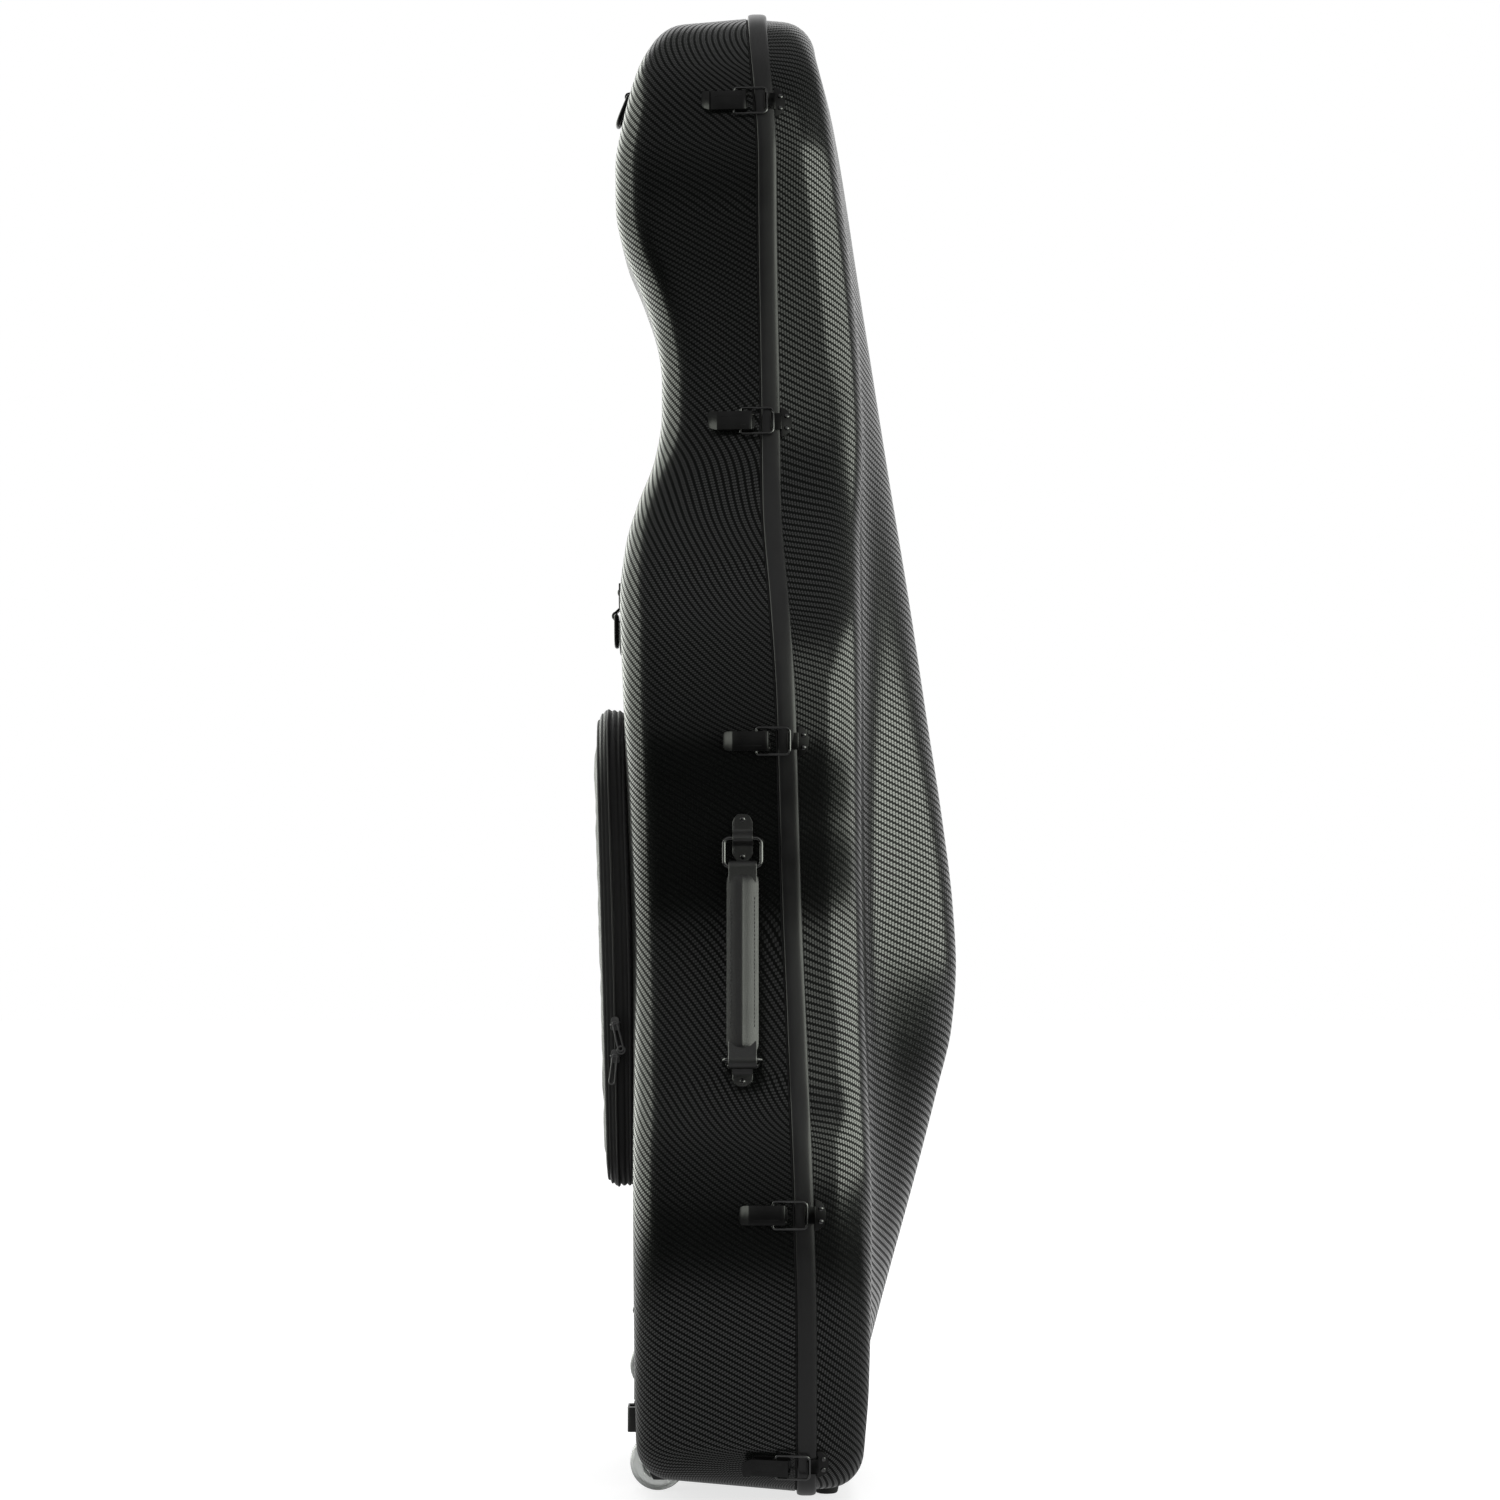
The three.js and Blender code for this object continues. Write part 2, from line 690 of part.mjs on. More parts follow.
// All that the fittings outside rest on: both shells with the bead between them.
const beadSeat = rimBand(beadSection(seatGap, wallThickness));
const caseSeat = joined([backSeat, hullSolid(lidSide, seatGap), beadSeat]);

// A plate in a placed frame, cut so that it rests on the case, and brought back into the frame.
function seated(solids, matrix) {
  const world = solidFrom(geometryFrom(joined(solids)).applyMatrix4(matrix)).subtract(caseSeat);
  const largest = world.decompose().sort((a, b) => b.volume() - a.volume())[0];
  return geometryFrom(largest).applyMatrix4(matrix.clone().invert());
}

// Where the wheels stand.
const wheelPlaces = [-1, 1].map((side) => ({
  side,
  axles: [wheelRadius, wheelRadius + wheelRise].map(
    (height) => new THREE.Vector3(side * wheelSpread, wheelBehindDatum, height),
  ),
}));
const sideways = new THREE.Vector3(1, 0, 0);

// The room that a wheel well takes: round about the axle, open backwards and, below, downwards.
function wellSolid(axle, halfWidth, radius, lower) {
  const far = backDepth + overrun;
  const round = rodSolid(axle, sideways, halfWidth * 2, radius, roundSides);
  const backward = boxSolid(
    new THREE.Vector3(axle.x - halfWidth, axle.y, axle.z - radius),
    new THREE.Vector3(axle.x + halfWidth, far, axle.z + radius),
  );
  if (!lower) return round.add(backward);
  const downward = boxSolid(
    new THREE.Vector3(axle.x - halfWidth, axle.y - radius, -overrun),
    new THREE.Vector3(axle.x + halfWidth, far, axle.z),
  );
  return joined([round, backward, downward]);
}

const wellHalf = wheelWidth / 2 + wheelRunning / 2 + wellWall;
const wellRadius = wheelRadius + wheelRunning + wellWall;

// Takes the wheel wells out of a solid with some room round them.
function withoutWells(solid, room) {
  let left = solid;
  wheelPlaces.forEach(({ axles }) => axles.forEach((axle, i) => {
    left = left.subtract(wellSolid(axle, wellHalf + room, wellRadius + room, i === 0));
  }));
  return left;
}

// The two shells and the two liners.
function addShells(lidGroup) {
  const outerBack = skinRings(backSide, 0, 0, shoulderSteps, plateauSteps);
  const innerBack = skinRings(backSide, wallThickness, 0, shoulderSteps, plateauSteps);
  const back = withoutWells(solidFrom(shellGeometry(outerBack, innerBack)), seatGap);
  addPiece(caseGroup, 'back_shell', geometryFrom(back), twill);
  const outerLid = skinRings(lidSide, 0, partingGap, shoulderSteps, plateauSteps);
  const innerLid = skinRings(lidSide, wallThickness, partingGap, shoulderSteps, plateauSteps);
  addPiece(lidGroup, 'lid_shell', geometryFrom(solidFrom(shellGeometry(outerLid, innerLid))), twill);
  const near = wallThickness + linerGap;
  const deep = near + linerThickness;
  const backLiner = shellGeometry(
    skinRings(backSide, near, -linerGap, linerShoulderSteps, linerPlateauSteps),
    skinRings(backSide, deep, -linerGap, linerShoulderSteps, linerPlateauSteps),
  );
  const linerBack = withoutWells(solidFrom(backLiner), linerGap);
  addPiece(caseGroup, 'back_liner', geometryFrom(linerBack), plush);
  const lidLiner = shellGeometry(
    skinRings(lidSide, near, partingGap + linerGap, linerShoulderSteps, plateauSteps),
    skinRings(lidSide, deep, partingGap + linerGap, linerShoulderSteps, plateauSteps),
  );
  addPiece(lidGroup, 'lid_liner', geometryFrom(solidFrom(lidLiner)), plush);
}

// The bead on the lid's rim, and the seal between the rims.
function addRim(lidGroup) {
  addPiece(lidGroup, 'lid_trim', geometryFrom(rimBand(beadSection(0, 0))), beadBlack);
  const seal = [
    [-sealInset, seatGap], [-sealInset, partingGap - seatGap],
    [-sealInset - sealWidth, partingGap - seatGap], [-sealInset - sealWidth, seatGap],
  ];
  addPiece(caseGroup, 'rim_seal', geometryFrom(rimBand(seal)), rubber);
}

// One draw latch: base and lever on the back shell, bail on the lever, catch on the lid.
function addLatch(lidGroup, height, index) {
  const lift = wallBulge(height, -1, catchRadius);
  const rim = wallMatrix(height, -1, partingDepth(height)).multiply(moved(lift, 0, 0));
  const lean = new THREE.Matrix4().makeRotationZ(-draftAngle);
  const base = rim.clone().multiply(lean);
  const upward = new THREE.Vector3(0, 0, 1);
  const pinY = -leverPinBehindRim;
  const lugZ = latchWidth / 2 - lugThickness / 2;
  const earZ = lugZ - lugThickness / 2 - pinClearance - earThickness / 2;
  const tailY = pinY - bailPinBehindPin;
  const earTop = latchPinHeight + latchPinRadius * 2;
  const plateHalf = earZ + earThickness / 2;
  const plate = boxSolid(
    new THREE.Vector3(-overrun, -latchBaseReach, -plateHalf),
    new THREE.Vector3(latchBaseThickness, pinY + latchPinRadius * 2, plateHalf),
  );
  const ears = [-1, 1].map((side) => boxSolid(
    new THREE.Vector3(0, pinY - latchPinRadius * 2, side * earZ - earThickness / 2),
    new THREE.Vector3(earTop, pinY + latchPinRadius * 2, side * earZ + earThickness / 2),
  ));
  const pinCentre = new THREE.Vector3(latchPinHeight, pinY, 0);
  const pin = rodSolid(pinCentre, upward, latchWidth, latchPinRadius, pinSides);
  const number = index + 1;
  const baseGroup = new THREE.Group();
  baseGroup.applyMatrix4(base);
  caseGroup.add(baseGroup);
  const baseShape = seated([plate, ...ears, pin], base);
  addPiece(baseGroup, `latch_base_${number}`, baseShape, blackMetal);

  // The lever in its own frame, with the pin along z at the origin.
  const levelX = bailHeight + bailWireRadius + seatGap - latchPinHeight;
  const topX = levelX + leverThickness;
  const profile = new THREE.Shape();
  const curl = latchPinRadius * 2;
  profile.moveTo(levelX, 0);
  profile.lineTo(topX, 0);
  profile.lineTo(topX, -leverReach + leverTipLength);
  profile.lineTo(topX + leverTipRise, -leverReach);
  profile.lineTo(levelX + leverTipRise, -leverReach);
  profile.lineTo(levelX, -leverReach + leverTipLength);
  const strip = new THREE.ExtrudeGeometry(profile, { depth: latchWidth, bevelEnabled: false });
  const top = placed(strip, moved(0, 0, -latchWidth / 2));
  const lugShape = new THREE.Shape();
  const lugTail = -bailPinBehindPin - latchPinRadius * lugTailShare;
  lugShape.moveTo(latchPinRadius, curl);
  lugShape.lineTo(levelX + leverThickness / 2, 0);
  lugShape.lineTo(levelX + leverThickness / 2, lugTail);
  lugShape.lineTo(bailHeight - latchPinHeight - latchPinRadius * 2, lugTail);
  lugShape.lineTo(-curl, -latchPinRadius);
  lugShape.lineTo(-curl, latchPinRadius);
  const lug = new THREE.ExtrudeGeometry(lugShape, { depth: lugThickness, bevelEnabled: false });
  const lugs = [-1, 1].map((side) => placed(lug, moved(0, 0, side * lugZ - lugThickness / 2)));
  const tail = new THREE.Vector3(bailHeight - latchPinHeight, -bailPinBehindPin, 0);
  const long = latchWidth + overrun;
  const pinBore = rodSolid(
    new THREE.Vector3(), upward, long, latchPinRadius + pinClearance, pinSides,
  );
  const tailBore = rodSolid(tail, upward, long, bailWireRadius + pinClearance, pinSides);
  const lever = joined([top, ...lugs]).subtract(pinBore).subtract(tailBore);
  const leverGroup = new THREE.Group();
  leverGroup.name = `latch_lever_pivot_${number}`;
  leverGroup.position.copy(pinCentre);
  baseGroup.add(leverGroup);
  addPiece(leverGroup, `latch_lever_${number}`, geometryFrom(lever), blackMetal);

  // The bail lies flat over the bead: from the lever's second bore to the hook.
  const tailInRim = new THREE.Vector3(bailHeight, tailY, 0).applyMatrix4(lean);
  const drop = bailHeight - tailInRim.x;
  const bailGroup = new THREE.Group();
  bailGroup.name = `latch_bail_pivot_${number}`;
  bailGroup.position.copy(tail);
  bailGroup.rotation.z = draftAngle - Math.asin(drop / bailReach);
  leverGroup.add(bailGroup);
  const innerZ = lugZ - lugThickness / 2;
  const armZ = bailWidth / 2;
  const turns = [
    [new THREE.Vector2(bailCorner, armZ - bailCorner), Math.PI, Math.PI / 2],
    [new THREE.Vector2(bailReach - bailCorner, armZ - bailCorner), Math.PI / 2, 0],
  ];
  const side = turns.flatMap(([centre, from, to]) => cornerPoints(centre, bailCorner, from, to, 2));
  const run = [new THREE.Vector2(0, innerZ), ...side];
  const backRun = run.slice().reverse().map((point) => new THREE.Vector2(point.x, -point.y));
  const wire = [...run, ...backRun].map((point) => new THREE.Vector3(0, point.x, point.y));
  addPiece(bailGroup, `latch_bail_${number}`, wireGeometry(wire, bailWireRadius, thinSides), blackMetal);

  // The catch: a half round plate on the lid's wall, and a hook over the bead.
  const barY = tailInRim.y + Math.sqrt(bailReach * bailReach - drop * drop);
  const hookY = barY - bailWireRadius - seatGap - hookThickness;
  const overBead = beadHeight + seatGap;
  const plateY = partingGap + beadWidth + seatGap;
  const catchCentre = new THREE.Vector3(catchThickness / 2 - overrun / 2, plateY, 0);
  const disc = rodSolid(catchCentre, sideways, catchThickness + overrun, catchRadius, roundSides);
  const keep = boxSolid(
    new THREE.Vector3(-overrun * 2, plateY, -catchRadius),
    new THREE.Vector3(catchThickness, plateY + catchReach, catchRadius),
  );
  const half = disc.intersect(keep);
  const hookHalf = latchWidth / 2 - lugThickness;
  const tongue = boxSolid(
    new THREE.Vector3(overBead, hookY, -hookHalf),
    new THREE.Vector3(overBead + hookThickness, plateY + hookThickness, hookHalf),
  );
  const riser = boxSolid(
    new THREE.Vector3(0, plateY, -hookHalf),
    new THREE.Vector3(overBead + hookThickness, plateY + hookThickness, hookHalf),
  );
  const hook = boxSolid(
    new THREE.Vector3(overBead, hookY, -hookHalf),
    new THREE.Vector3(hookRise, hookY + hookThickness, hookHalf),
  );
  const heads = [-1, 1].map((sign) => rivetSolid(
    catchThickness - seatGap, plateY + catchReach / 2, (sign * rivetSpacing) / 2, rivetRadius, rivetRise,
  ));
  const catchGroup = new THREE.Group();
  catchGroup.applyMatrix4(rim);
  lidGroup.add(catchGroup);
  const catchShape = seated([half, tongue, riser, hook, ...heads], rim);
  addPiece(catchGroup, `latch_catch_${number}`, catchShape, blackMetal);
}

// The straight hinge axis, just outside the two bouts.
function hingeAxis() {
  const ends = hingeTangentShares.map((share) => {
    const height = share * caseHeight;
    const { point, normal } = wallAt(height, 1);
    point.addScaledVector(normal, hingeStandOff);
    point.y = -(partingDepth(height) + partingGap / 2);
    return point;
  });
  const direction = ends[1].clone().sub(ends[0]).normalize();
  return { start: ends[0], direction };
}

const axisLine = hingeAxis();

// The point of the hinge axis at a height.
function axisPoint(height) {
  const along = (height - axisLine.start.z) / axisLine.direction.z;
  return axisLine.start.clone().addScaledVector(axisLine.direction, along);
}

// One hinge: a middle knuckle with the peened pin on the back shell, two knuckles on the lid.
function addHinge(lidGroup, height, index) {
  const { point, normal } = wallAt(height, 1);
  const centre = axisPoint(height);
  const bulge = wallBulge(height, 1, hingeLeafHeight / 2);
  const standOff = centre.clone().sub(point).setY(0).dot(normal) - bulge;
  const up = axisLine.direction;
  const front = new THREE.Vector3(0, -1, 0);
  const out = normal.clone().addScaledVector(up, -normal.dot(up)).normalize();
  const across = up.clone().cross(out).normalize();
  const turn = new THREE.Matrix4().makeBasis(out, across, up).setPosition(centre);
  const along = new THREE.Vector3(0, 0, 1);
  const gapToWall = standOff + hingeStandOff * 2;
  const depthSign = across.dot(front) > 0 ? 1 : -1;
  const bore = rodSolid(
    new THREE.Vector3(), along, knuckleLength * 4, hingePinRadius + pinClearance, pinSides,
  );
  // A leaf on one side of the axis that carries knuckles at the given places.
  const leaf = (sign, places) => {
    const way = depthSign * sign;
    const low = (a, b) => Math.min(a * way, b * way);
    const high = (a, b) => Math.max(a * way, b * way);
    const inner = sign > 0 ? beadWidth + beadEdgeHeight : hingeWebThickness;
    const plate = boxSolid(
      new THREE.Vector3(-gapToWall, low(inner, inner + hingeLeafWidth), -hingeLeafHeight / 2),
      new THREE.Vector3(
        -standOff + hingeLeafThickness + seatGap,
        high(inner, inner + hingeLeafWidth),
        hingeLeafHeight / 2,
      ),
    );
    const parts = [plate];
    places.forEach((place) => {
      const knuckle = new THREE.Vector3(0, 0, place);
      parts.push(rodSolid(knuckle, along, knuckleLength, knuckleRadius, pinSides));
      const reach = inner + hingeLeafWidth / 2;
      const bottomX = -standOff + beadHeight + seatGap * 2;
      const web = sign > 0 ? bottomX : -gapToWall;
      parts.push(boxSolid(
        new THREE.Vector3(web, low(0, reach), place - knuckleLength / 2),
        new THREE.Vector3(knuckleRadius - hingeWebThickness, high(0, reach), place + knuckleLength / 2),
      ));
    });
    [-1, 1].forEach((end) => parts.push(rivetSolid(
      -standOff + hingeLeafThickness, way * (inner + hingeLeafWidth * hingeRivetShare),
      end * hingeRivetSpread, rivetRadius, rivetRise,
    )));
    return geometryFrom(solidFrom(seated(parts, turn)).subtract(bore));
  };
  const number = index + 1;
  const pitch = knuckleLength + knuckleGap;
  const pinLength = knuckleLength * 3 + knuckleGap * 2;
  const pin = rodSolid(new THREE.Vector3(), along, pinLength, hingePinRadius, pinSides);
  const plug = rodSolid(
    new THREE.Vector3(), along, knuckleLength - knuckleGap, hingePinRadius + pinClearance * 2, pinSides,
  );
  const backGroup = new THREE.Group();
  backGroup.applyMatrix4(turn);
  caseGroup.add(backGroup);
  const backLeaf = joined([solidFrom(leaf(-1, [0])), pin, plug]);
  addPiece(backGroup, `hinge_back_leaf_${number}`, geometryFrom(backLeaf), blackMetal);
  const lidLeafGroup = new THREE.Group();
  lidLeafGroup.applyMatrix4(turn);
  lidGroup.add(lidLeafGroup);
  const lidLeaf = leaf(1, [-pitch, pitch]);
  addPiece(lidLeafGroup, `hinge_lid_leaf_${number}`, lidLeaf, blackMetal);
}

// A tab that holds a ring's bar in a saddle: x outwards, y along the bar, z along the tab.
function chapeParts(width, low, high, thickness, saddleRadius, wireRadius, rivetZs) {
  const along = new THREE.Vector3(0, 1, 0);
  const barX = wireRadius + seatGap;
  const bar = new THREE.Vector3(barX, 0, 0);
  const plate = boxSolid(
    new THREE.Vector3(-overrun, -width / 2, low),
    new THREE.Vector3(thickness - saddleRadius / 2, width / 2, high),
  );
  const saddle = rodSolid(bar, along, width, saddleRadius, roundSides);
  const rivets = rivetZs.map((z) => rivetSolid(
    thickness - saddleRadius / 2 - seatGap, 0, z, rivetRadius, rivetRise,
  ));
  return { solids: [plate, saddle, ...rivets], bar };
}

// The carry handle: two tabs, two rings and the grip, a linkage that is open at its lower pivot.
function addHandle() {
  const along = new THREE.Vector3(0, 1, 0);
  const outline2d = roundedRectangle(
    handleRingWidth / 2, -handleRingReach, 0, handleRingCorner, 2,
  );
  const pins = handleHeights.map((height, i) => {
    const place = wallMatrix(height, -1, -handleBehindDatum);
    const { point, normal } = wallAt(height, -1);
    // The wall leans inwards behind the rim.
    const behind = handleBehindDatum + partingDepth(height);
    const inward = Math.tan(draftAngle) * behind;
    const lift = handleWireRadius + seatGap * 2 + chapeThickness / 2;
    place.setPosition(point.clone().addScaledVector(normal, lift - inward).setY(handleBehindDatum));
    const low = i ? -chapeLength / 2 : -lowerChapeBelow;
    const parts = chapeParts(
      chapeWidth, low, low + chapeLength, chapeThickness, chapeSaddleRadius, handleWireRadius,
      [low + rivetMargin, low + chapeLength - rivetMargin],
    );
    const bore = rodSolid(parts.bar, along, chapeWidth * 2, handleWireRadius + pinClearance, pinSides);
    const shape = solidFrom(seated(parts.solids, place)).subtract(bore);
    const group = new THREE.Group();
    group.applyMatrix4(place);
    caseGroup.add(group);
    addPiece(group, i ? 'handle_chape_upper' : 'handle_chape_lower', geometryFrom(shape), leather);
    return parts.bar.clone().applyMatrix4(place);
  });
  const [lowerPin, upperPin] = pins;
  const down = lowerPin.clone().sub(upperPin);
  const span = down.length();
  const slope = Math.atan2(-down.x, -down.z); // outward lean of the line between the pins
  const ring = ringGeometry(outline2d, handleWireRadius, wireSides);

  const upperGroup = new THREE.Group();
  upperGroup.name = 'handle_upper_pivot';
  upperGroup.position.copy(upperPin);
  upperGroup.rotation.y = slope;
  caseGroup.add(upperGroup);
  addPiece(upperGroup, 'handle_ring_upper', ring, blackMetal);

  const lowerGroup = new THREE.Group();
  lowerGroup.name = 'handle_lower_pivot';
  lowerGroup.position.copy(lowerPin);
  lowerGroup.rotation.y = slope + Math.PI - lowerRingRest;
  caseGroup.add(lowerGroup);
  addPiece(lowerGroup, 'handle_ring_lower', ring.clone(), blackMetal);

  // The grip runs from the upper ring's lower bar to the lower ring's outer bar.
  const outAtRest = handleRingReach * Math.sin(lowerRingRest);
  const dropAtRest = span - handleRingReach - handleRingReach * Math.cos(lowerRingRest);
  const gripLength = Math.hypot(outAtRest, dropAtRest);
  const gripTilt = Math.atan2(outAtRest, dropAtRest);
  const gripGroup = new THREE.Group();
  gripGroup.name = 'handle_grip_pivot';
  gripGroup.position.set(0, 0, -handleRingReach);
  gripGroup.rotation.y = gripTilt;
  upperGroup.add(gripGroup);
  const sections = gripShares.map(([place, swell]) => {
    const halfY = THREE.MathUtils.lerp(gripEndHalfWidth, gripHalfWidth, swell);
    const halfX = THREE.MathUtils.lerp(gripEndHalfThickness, gripHalfThickness, swell);
    return Array.from({ length: roundSides }, (_, k) => {
      const angle = (Math.PI * 2 * k) / roundSides;
      const [c, s] = [Math.cos(angle), Math.sin(angle)];
      const squarer = (value) => Math.sign(value) * Math.sqrt(Math.abs(value));
      return new THREE.Vector3(halfX * squarer(c), halfY * squarer(s), -gripLength * place);
    });
  });
  const body = solidFrom(loftGeometry(sections, false));
  const upperEye = new THREE.Vector3(0, 0, 0);
  const lowerEye = new THREE.Vector3(0, 0, -gripLength - gripOpenTrim);
  const eyeWidth = gripEndHalfWidth * 2;
  const necks = boxSolid(
    new THREE.Vector3(-gripEndHalfThickness, -gripEndHalfWidth, -gripLength),
    new THREE.Vector3(gripEndHalfThickness, gripEndHalfWidth, 0),
  );
  const grip = joined([
    body, necks,
    rodSolid(upperEye, along, eyeWidth, gripLoopRadius, wheelSides),
    rodSolid(lowerEye, along, eyeWidth, gripOpenLoopRadius, wheelSides),
  ])
    .subtract(rodSolid(upperEye, along, eyeWidth * 2, handleWireRadius + pinClearance, pinSides))
    .subtract(rodSolid(lowerEye, along, eyeWidth * 2, gripOpenBore, wheelSides));
  addPiece(gripGroup, 'handle_grip', geometryFrom(grip), leather);
}

// A strap anchor on the back: a tab with a saddle, and a ring that hangs from it.
function addAnchor(x, height, name) {
  const slope = (backSurface(x, height + anchorPlateLength) - backSurface(x, height - anchorRingReach))
    / (anchorPlateLength + anchorRingReach);
  const normal = new THREE.Vector3(0, 1, slope).normalize();
  const upward = new THREE.Vector3(0, -slope, 1).normalize();
  const across = upward.clone().cross(normal);
  const surface = -backSurface(x, height);
  const point = new THREE.Vector3(x, surface, height).addScaledVector(normal, anchorWireRadius);
  const place = new THREE.Matrix4().makeBasis(normal, across, upward).setPosition(point);
  const parts = chapeParts(
    anchorPlateWidth, -anchorSaddleRadius, anchorPlateLength - anchorSaddleRadius,
    anchorPlateThickness, anchorSaddleRadius, anchorWireRadius, anchorRivetRises,
  );
  const along = new THREE.Vector3(0, 1, 0);
  const bore = rodSolid(parts.bar, along, anchorPlateWidth * 2, anchorWireRadius + pinClearance, pinSides);
  const group = new THREE.Group();
  group.applyMatrix4(place);
  caseGroup.add(group);
  const shape = solidFrom(seated(parts.solids, place)).subtract(bore);
  addPiece(group, `strap_anchor_${name}`, geometryFrom(shape), blackMetal);
  const ringGroup = new THREE.Group();
  ringGroup.name = `strap_ring_pivot_${name}`;
  ringGroup.position.copy(parts.bar);
  group.add(ringGroup);
  // Sharp corners at the bar and wide ones at the bottom, anticlockwise from the upper right.
  const corners = [
    [1, -anchorWireRadius, anchorWireRadius, 0], [-1, -anchorWireRadius, anchorWireRadius, 1],
    [-1, -anchorRingReach + anchorRingCorner, anchorRingCorner, 2],
    [1, -anchorRingReach + anchorRingCorner, anchorRingCorner, 3],
  ];
  const ring = corners.flatMap(([sign, middle, radius, quarter]) => {
    const centre = new THREE.Vector2(sign * (anchorRingWidth / 2 - radius), middle);
    const start = (quarter * Math.PI) / 2;
    return cornerPoints(centre, radius, start, start + Math.PI / 2, quarter < 2 ? 1 : 3);
  });
  addPiece(ringGroup, `strap_ring_${name}`, ringGeometry(ring, anchorWireRadius, wireSides), blackMetal);
}

// A wheel: a round-shouldered tyre with a bore.
function wheelGeometry() {
  const half = wheelWidth / 2;
  const bore = axleRadius + pinClearance;
  const edge = new THREE.Vector2(wheelRadius - wheelEdge, half - wheelEdge);
  const upper = [
    new THREE.Vector2(bore, half - wheelEdge / 2),
    new THREE.Vector2(edge.x, half),
    new THREE.Vector2(edge.x + wheelEdge * Math.SQRT1_2, edge.y + wheelEdge * Math.SQRT1_2),
    new THREE.Vector2(wheelRadius, edge.y),
  ];
  const lower = upper.slice().reverse().map((point) => new THREE.Vector2(point.x, -point.y));
  const profile = [...upper, ...lower].reverse();
  profile.push(profile[0].clone());
  return geometryFrom(solidFrom(new THREE.LatheGeometry(profile, wheelSides).rotateZ(Math.PI / 2)));
}

// A wheel carrier on one side: a plate round the bottom corner with two wells and a strap bar.
function addCarrier({ side, axles }) {
  const name = side < 0 ? 'left' : 'right';
  const outer = hullSolid(backSide, carrierPlate);
  const half = wellHalf + carrierMargin;
  const top = axles[1].z + carrierTop;
  const centreX = axles[0].x;
  const region = boxSolid(
    new THREE.Vector3(centreX - half, axles[0].y - wheelRadius - carrierMargin, -overrun),
    new THREE.Vector3(centreX + half, backDepth * 2, top),
  );
  const plate = outer.intersect(region).subtract(backSeat);
  const wells = axles.map((axle, i) => wellSolid(axle, wellHalf, wellRadius, i === 0).intersect(outer));
  const rooms = axles.map((axle, i) => wellSolid(
    axle, wellHalf - wellWall, wellRadius - wellWall, i === 0,
  ));
  const barMiddle = axles[0].z + wheelRise * strapBarShare;
  const wall = -backSurface(centreX, barMiddle);
  const barFace = wall + carrierPlate + strapBarProud;
  const bar = boxSolid(
    new THREE.Vector3(centreX - wellHalf, wall + carrierPlate / 2, barMiddle - strapBarHeight / 2),
    new THREE.Vector3(centreX + wellHalf, barFace, barMiddle + strapBarHeight / 2),
  );
  const slot = boxSolid(
    new THREE.Vector3(centreX - wellHalf / 2, wall + carrierPlate, barMiddle - strapBarHeight),
    new THREE.Vector3(
      centreX + wellHalf / 2, wall + carrierPlate + strapSlotDepth, barMiddle + strapBarHeight,
    ),
  );
  const bars = axles.map((axle) => rodSolid(axle, sideways, wellHalf * 2 - wellWall, axleRadius, pinSides));
  const carrier = joined([
    joined([plate, ...wells, bar.subtract(slot)]).subtract(joined(rooms)), ...bars,
  ]);
  addPiece(caseGroup, `wheel_carrier_${name}`, geometryFrom(carrier), plastic);
  axles.forEach((axle, i) => {
    const group = new THREE.Group();
    group.name = `wheel_pivot_${i ? 'upper' : 'lower'}_${name}`;
    group.position.copy(axle);
    caseGroup.add(group);
    addPiece(group, `wheel_${i ? 'upper' : 'lower'}_${name}`, wheelGeometry(), wheelClear);
  });
}

// A rubber foot under the lid.
function addFoot(lidGroup, side) {
  const centre = new THREE.Vector3(side * footSpread, -footBeforeDatum, footSeat / 2);
  const upright = new THREE.Vector3(0, 0, 1);
  const foot = rodSolid(centre, upright, footSeat, footRadius, footSides, footTopRadius).subtract(caseSeat);
  const lowest = foot.decompose().sort((a, b) => b.volume() - a.volume())[0];
  addPiece(lidGroup, side < 0 ? 'foot_left' : 'foot_right', geometryFrom(lowest), rubber);
}

